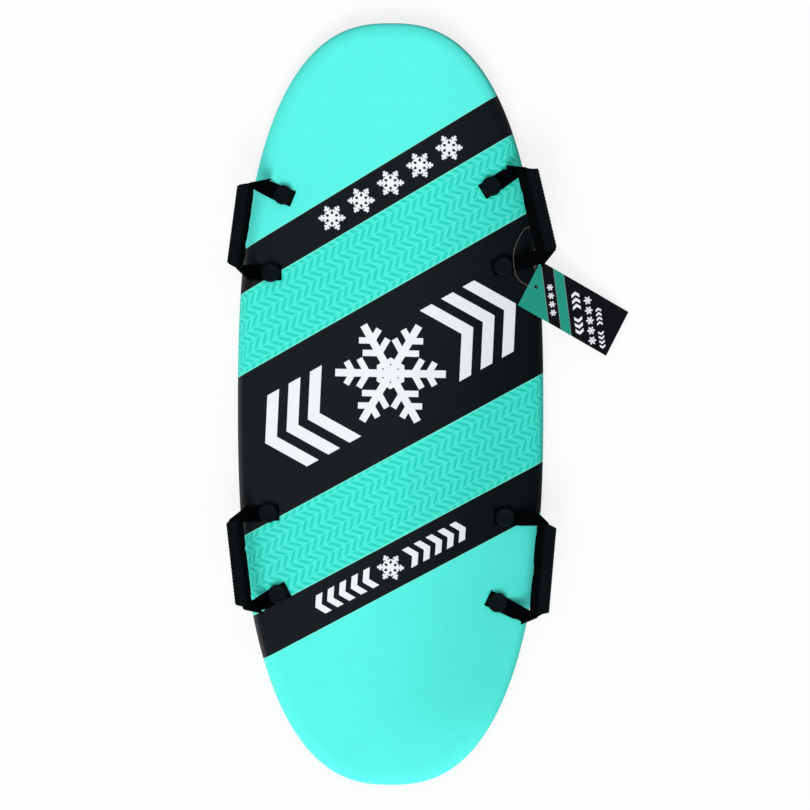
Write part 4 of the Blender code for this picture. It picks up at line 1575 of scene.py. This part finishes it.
def thread_curve(name, points, diameter, material):
    """Round thread through points, as a curve."""
    line = bpy.data.curves.new(name, "CURVE")
    line.dimensions = "3D"
    line.bevel_depth = diameter / 2
    line.bevel_resolution = 3
    line.use_fill_caps = True
    spline = line.splines.new("POLY")
    spline.points.add(len(points) - 1)
    for spline_point, point in zip(spline.points, points):
        spline_point.co = (*point, 1)
    line.materials.append(material)
    return placed(name, line)


def lock_mesh(loop, middle):
    """Barrel with rounded ends and a shallow waist, lying along the board."""
    half, neck = loop.lock_length / 2, loop.lock_neck
    shoulder, waist = loop.lock_radius - neck, 0.9 * loop.lock_radius
    half_waist = 0.3 * MILLIMETRE
    profile = [
        (0, -half),
        *arc((shoulder, neck - half), neck, -QUARTER_TURN, 0, steps=4),
        (waist, -half_waist),
        (waist, half_waist),
        *arc((shoulder, half - neck), neck, 0, QUARTER_TURN, steps=4),
        (0, half),
    ]
    mesh = turned("tag_lock", profile, segments=32, places=[Vector()])
    mesh.transform(Matrix.Translation(middle) @ Matrix.Rotation(-QUARTER_TURN, 4, "X"))
    return mesh


# Operators

OPERATORS = []


def listed(operator):
    """Keep an operator for the panel and for the order of work."""
    OPERATORS.append(operator)
    return operator


@listed
class SURFER_OT_stage(bpy.types.Operator):
    """Set up the camera over the deck, the pale floor and the soft light"""

    bl_idname = "surfer.stage"
    bl_label = "Stage"

    def execute(self, context):
        stage = context.scene.surfer.stage
        camera_data = bpy.data.cameras.new("camera")
        camera_data.sensor_width = stage.sensor
        camera_data.lens = stage.sensor * stage.view_height / stage.view_width
        camera = placed("camera", camera_data)
        camera.location = Vector(stage.view_centre) + UP * stage.view_height
        context.scene.camera = camera

        floor_gap = 0.1 * MILLIMETRE
        bm = bmesh.new()
        bmesh.ops.create_circle(bm, cap_ends=True, segments=96, radius=stage.floor_radius)
        floor = placed("floor", finished_mesh("floor", bm))
        floor.location.z = -floor_gap
        floor.data.materials.append(floor_finish(stage))
        floor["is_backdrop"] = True

        sun_data = bpy.data.lights.new("sun", "SUN")
        sun_data.energy = stage.sun_strength
        sun_data.angle = stage.sun_softness
        sun = placed("sun", sun_data)
        sun.rotation_euler = (stage.sun_tilt, stage.sun_turn, 0)
        light_sky(stage)
        context.scene.view_settings.view_transform = "Standard"
        return {"FINISHED"}


@listed
class SURFER_OT_tag_loop(bpy.types.Operator):
    """Lay the nylon loop of the hang tag and its lock"""

    bl_idname = "surfer.tag_loop"
    bl_label = "Tag loop"

    def execute(self, context):
        loop = context.scene.surfer.loop
        rivet = node_middle("rivet_cap_front_right_inner")
        deck_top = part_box("deck_skin")[1].z
        anchor = Vector((rivet.x, rivet.y, deck_top))
        middle = anchor + Vector(loop.lock_place)
        reach = Vector((0, loop.lock_length / 2 + loop.gap, 0))
        route = [middle - reach, *[anchor + Vector(point) for point in LOOP_ROUTE], middle + reach]
        points = smooth_route(route, steps=8)
        nylon = nylon_finish(loop)
        thread = thread_curve("tag_thread", points, loop.diameter, nylon)
        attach(thread, "board")
        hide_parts("tag_loop")

        lock = add_piece("tag_lock", lock_mesh(loop, middle), nylon)
        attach(lock, "board")
        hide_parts("tag_loop_lock")

        travelled = sum((after - before).length for before, after in zip(points, points[1:]))
        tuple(points[0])
        return {"FINISHED"}


@listed
class SURFER_OT_deck(bpy.types.Operator):
    """Wrap the printed foam skin over the board"""

    bl_idname = "surfer.deck"
    bl_label = "Deck"

    def execute(self, context):
        surfer = context.scene.surfer
        deck = surfer.deck
        board = Board(deck)
        angles = spread(QUARTER_TURN, 0, deck.rail_steps) + spread(0, deck.seam_angle, steps=4)[1:]
        rings = [board.ring(turn, 0) for turn in angles]
        rings += [board.ring(turn, deck.skin) for turn in reversed(angles)]
        piece = add_piece("deck", skinned("deck", rings, fill=fill_rows), deck_finish(deck))
        cut_holes(piece, rivet_holes(surfer.rivet, board))
        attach(piece, "board")
        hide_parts("deck_skin")
        return {"FINISHED"}


@listed
class SURFER_OT_base(bpy.types.Operator):
    """Wrap the slick sheet under the board and finish the foam core"""

    bl_idname = "surfer.base"
    bl_label = "Slick base and core"

    def execute(self, context):
        surfer = context.scene.surfer
        deck = surfer.deck
        board = Board(deck)
        gap = surfer.rivet.clearance
        seam = deck.seam_angle - gap / (deck.rail_lower_width - deck.skin)
        angles = spread(seam, -QUARTER_TURN, steps=8)
        rings = [board.ring(turn, surfer.base.sheet) for turn in reversed(angles)]
        rings += [board.ring(turn, 0) for turn in angles]
        mesh = skinned("slick_base", rings, fill=fill_rows)
        piece = add_piece("slick_base", mesh, slick_finish(surfer.base))
        cut_holes(piece, rivet_holes(surfer.rivet, board))
        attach(piece, "board")
        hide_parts("bottom_slick")
        core = frame["nodes"]["foam_core"]
        core.data.materials.clear()
        core.data.materials.append(core_finish(surfer.base))
        return {"FINISHED"}


@listed
class SURFER_OT_rivets(bpy.types.Operator):
    """Make the round rivet heads and their sockets"""

    bl_idname = "surfer.rivets"
    bl_label = "Rivets"

    def execute(self, context):
        rivet = context.scene.surfer.rivet
        strap = context.scene.surfer.strap
        plastic = rivet_finish(rivet)
        sizes = RivetSizes(rivet)
        deck_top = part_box("deck_skin")[1].z
        head = sizes.head(deck_top + strap.thickness + 2 * rivet.clearance)
        for name, spot in rivet_spots():
            for kind, outline, node in (
                ("rivet_head", head, "rivet_cap"),
                ("rivet_socket", sizes.socket(), "rivet_plug"),
            ):
                mesh = turned(f"{kind}_{name}", outline, rivet.segments, [spot])
                piece = add_piece(f"{kind}_{name}", mesh, plastic)
                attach(piece, "board")
                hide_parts(f"{node}_{name}")
        return {"FINISHED"}


@listed
class SURFER_OT_straps(bpy.types.Operator):
    """Weave one strap for each handle, from rivet to rivet"""

    bl_idname = "surfer.straps"
    bl_label = "Straps"

    def execute(self, context):
        surfer = context.scene.surfer
        webbing = webbing_finish(surfer.strap)
        for name in HANDLES:
            handle = Handle(name, surfer.strap, surfer.grip)
            strap = add_piece(f"strap_{name}", strap_mesh(handle, surfer.strap), webbing)
            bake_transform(strap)
            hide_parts(f"webbing_{name}", *[f"strap_tab_{name}_{row}" for row in ROWS])
        return {"FINISHED"}


@listed
class SURFER_OT_grips(bpy.types.Operator):
    """Sew the padded sleeves round the straps"""

    bl_idname = "surfer.grips"
    bl_label = "Grips"

    def execute(self, context):
        surfer = context.scene.surfer
        grip = surfer.grip
        cloth = cloth_finish(grip)
        foam = pad_finish(grip)
        thread = thread_finish(grip)
        sleeves = []
        for name in HANDLES:
            handle = Handle(name, surfer.strap, grip)
            sleeve = add_piece(f"grip_sleeve_{name}", sleeve_mesh(handle, grip), cloth)
            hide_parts(f"grip_cover_{name}")
            sleeves.append((handle, sleeve))
            pad = add_piece(f"grip_foam_{name}", pad_mesh(handle, grip, surfer.strap), foam)
            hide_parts(f"grip_pad_{name}")
            stitches = add_piece(f"grip_stitches_{name}", stitch_mesh(handle, grip), thread)
            for piece in (sleeve, pad, stitches):
                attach(piece, f"handle_{name}")
        settle_cloth(sleeves, grip)
        return {"FINISHED"}


@listed
class SURFER_OT_hang_tag(bpy.types.Operator):
    """Print and punch the hang tag"""

    bl_idname = "surfer.hang_tag"
    bl_label = "Hang tag"

    def execute(self, context):
        tag = context.scene.surfer.tag
        card = card_mesh(tag)
        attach(card, "tag")
        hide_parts("hang_tag")
        return {"FINISHED"}


class SURFER_PT_panel(bpy.types.Panel):
    """Buttons for the pieces of the snow surfer"""

    bl_idname = "SURFER_PT_panel"
    bl_label = "Snow surfer"
    bl_space_type = "VIEW_3D"
    bl_region_type = "UI"
    bl_category = "Snow surfer"

    def draw(self, context):
        for operator in OPERATORS:
            self.layout.operator(operator.bl_idname)


SETTINGS = (
    StageSettings,
    LoopSettings,
    DeckSettings,
    BaseSettings,
    RivetSettings,
    StrapSettings,
    GripSettings,
    TagSettings,
    SurferSettings,
)


def register():
    for kind in (*SETTINGS, *OPERATORS, SURFER_PT_panel):
        bpy.utils.register_class(kind)
    bpy.types.Scene.surfer = bpy.props.PointerProperty(type=SurferSettings)


def unregister():
    del bpy.types.Scene.surfer
    for kind in reversed((*SETTINGS, *OPERATORS, SURFER_PT_panel)):
        bpy.utils.unregister_class(kind)


def main():
    register()
    for operator in OPERATORS:
        group, name = operator.bl_idname.split(".")
        getattr(getattr(bpy.ops, group), name)()
    boxes = {"cad": CAD_BOX, "visual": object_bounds()}
    {name: [list(corner) for corner in box] for name, box in boxes.items()}


if __name__ == "__main__":
    main()
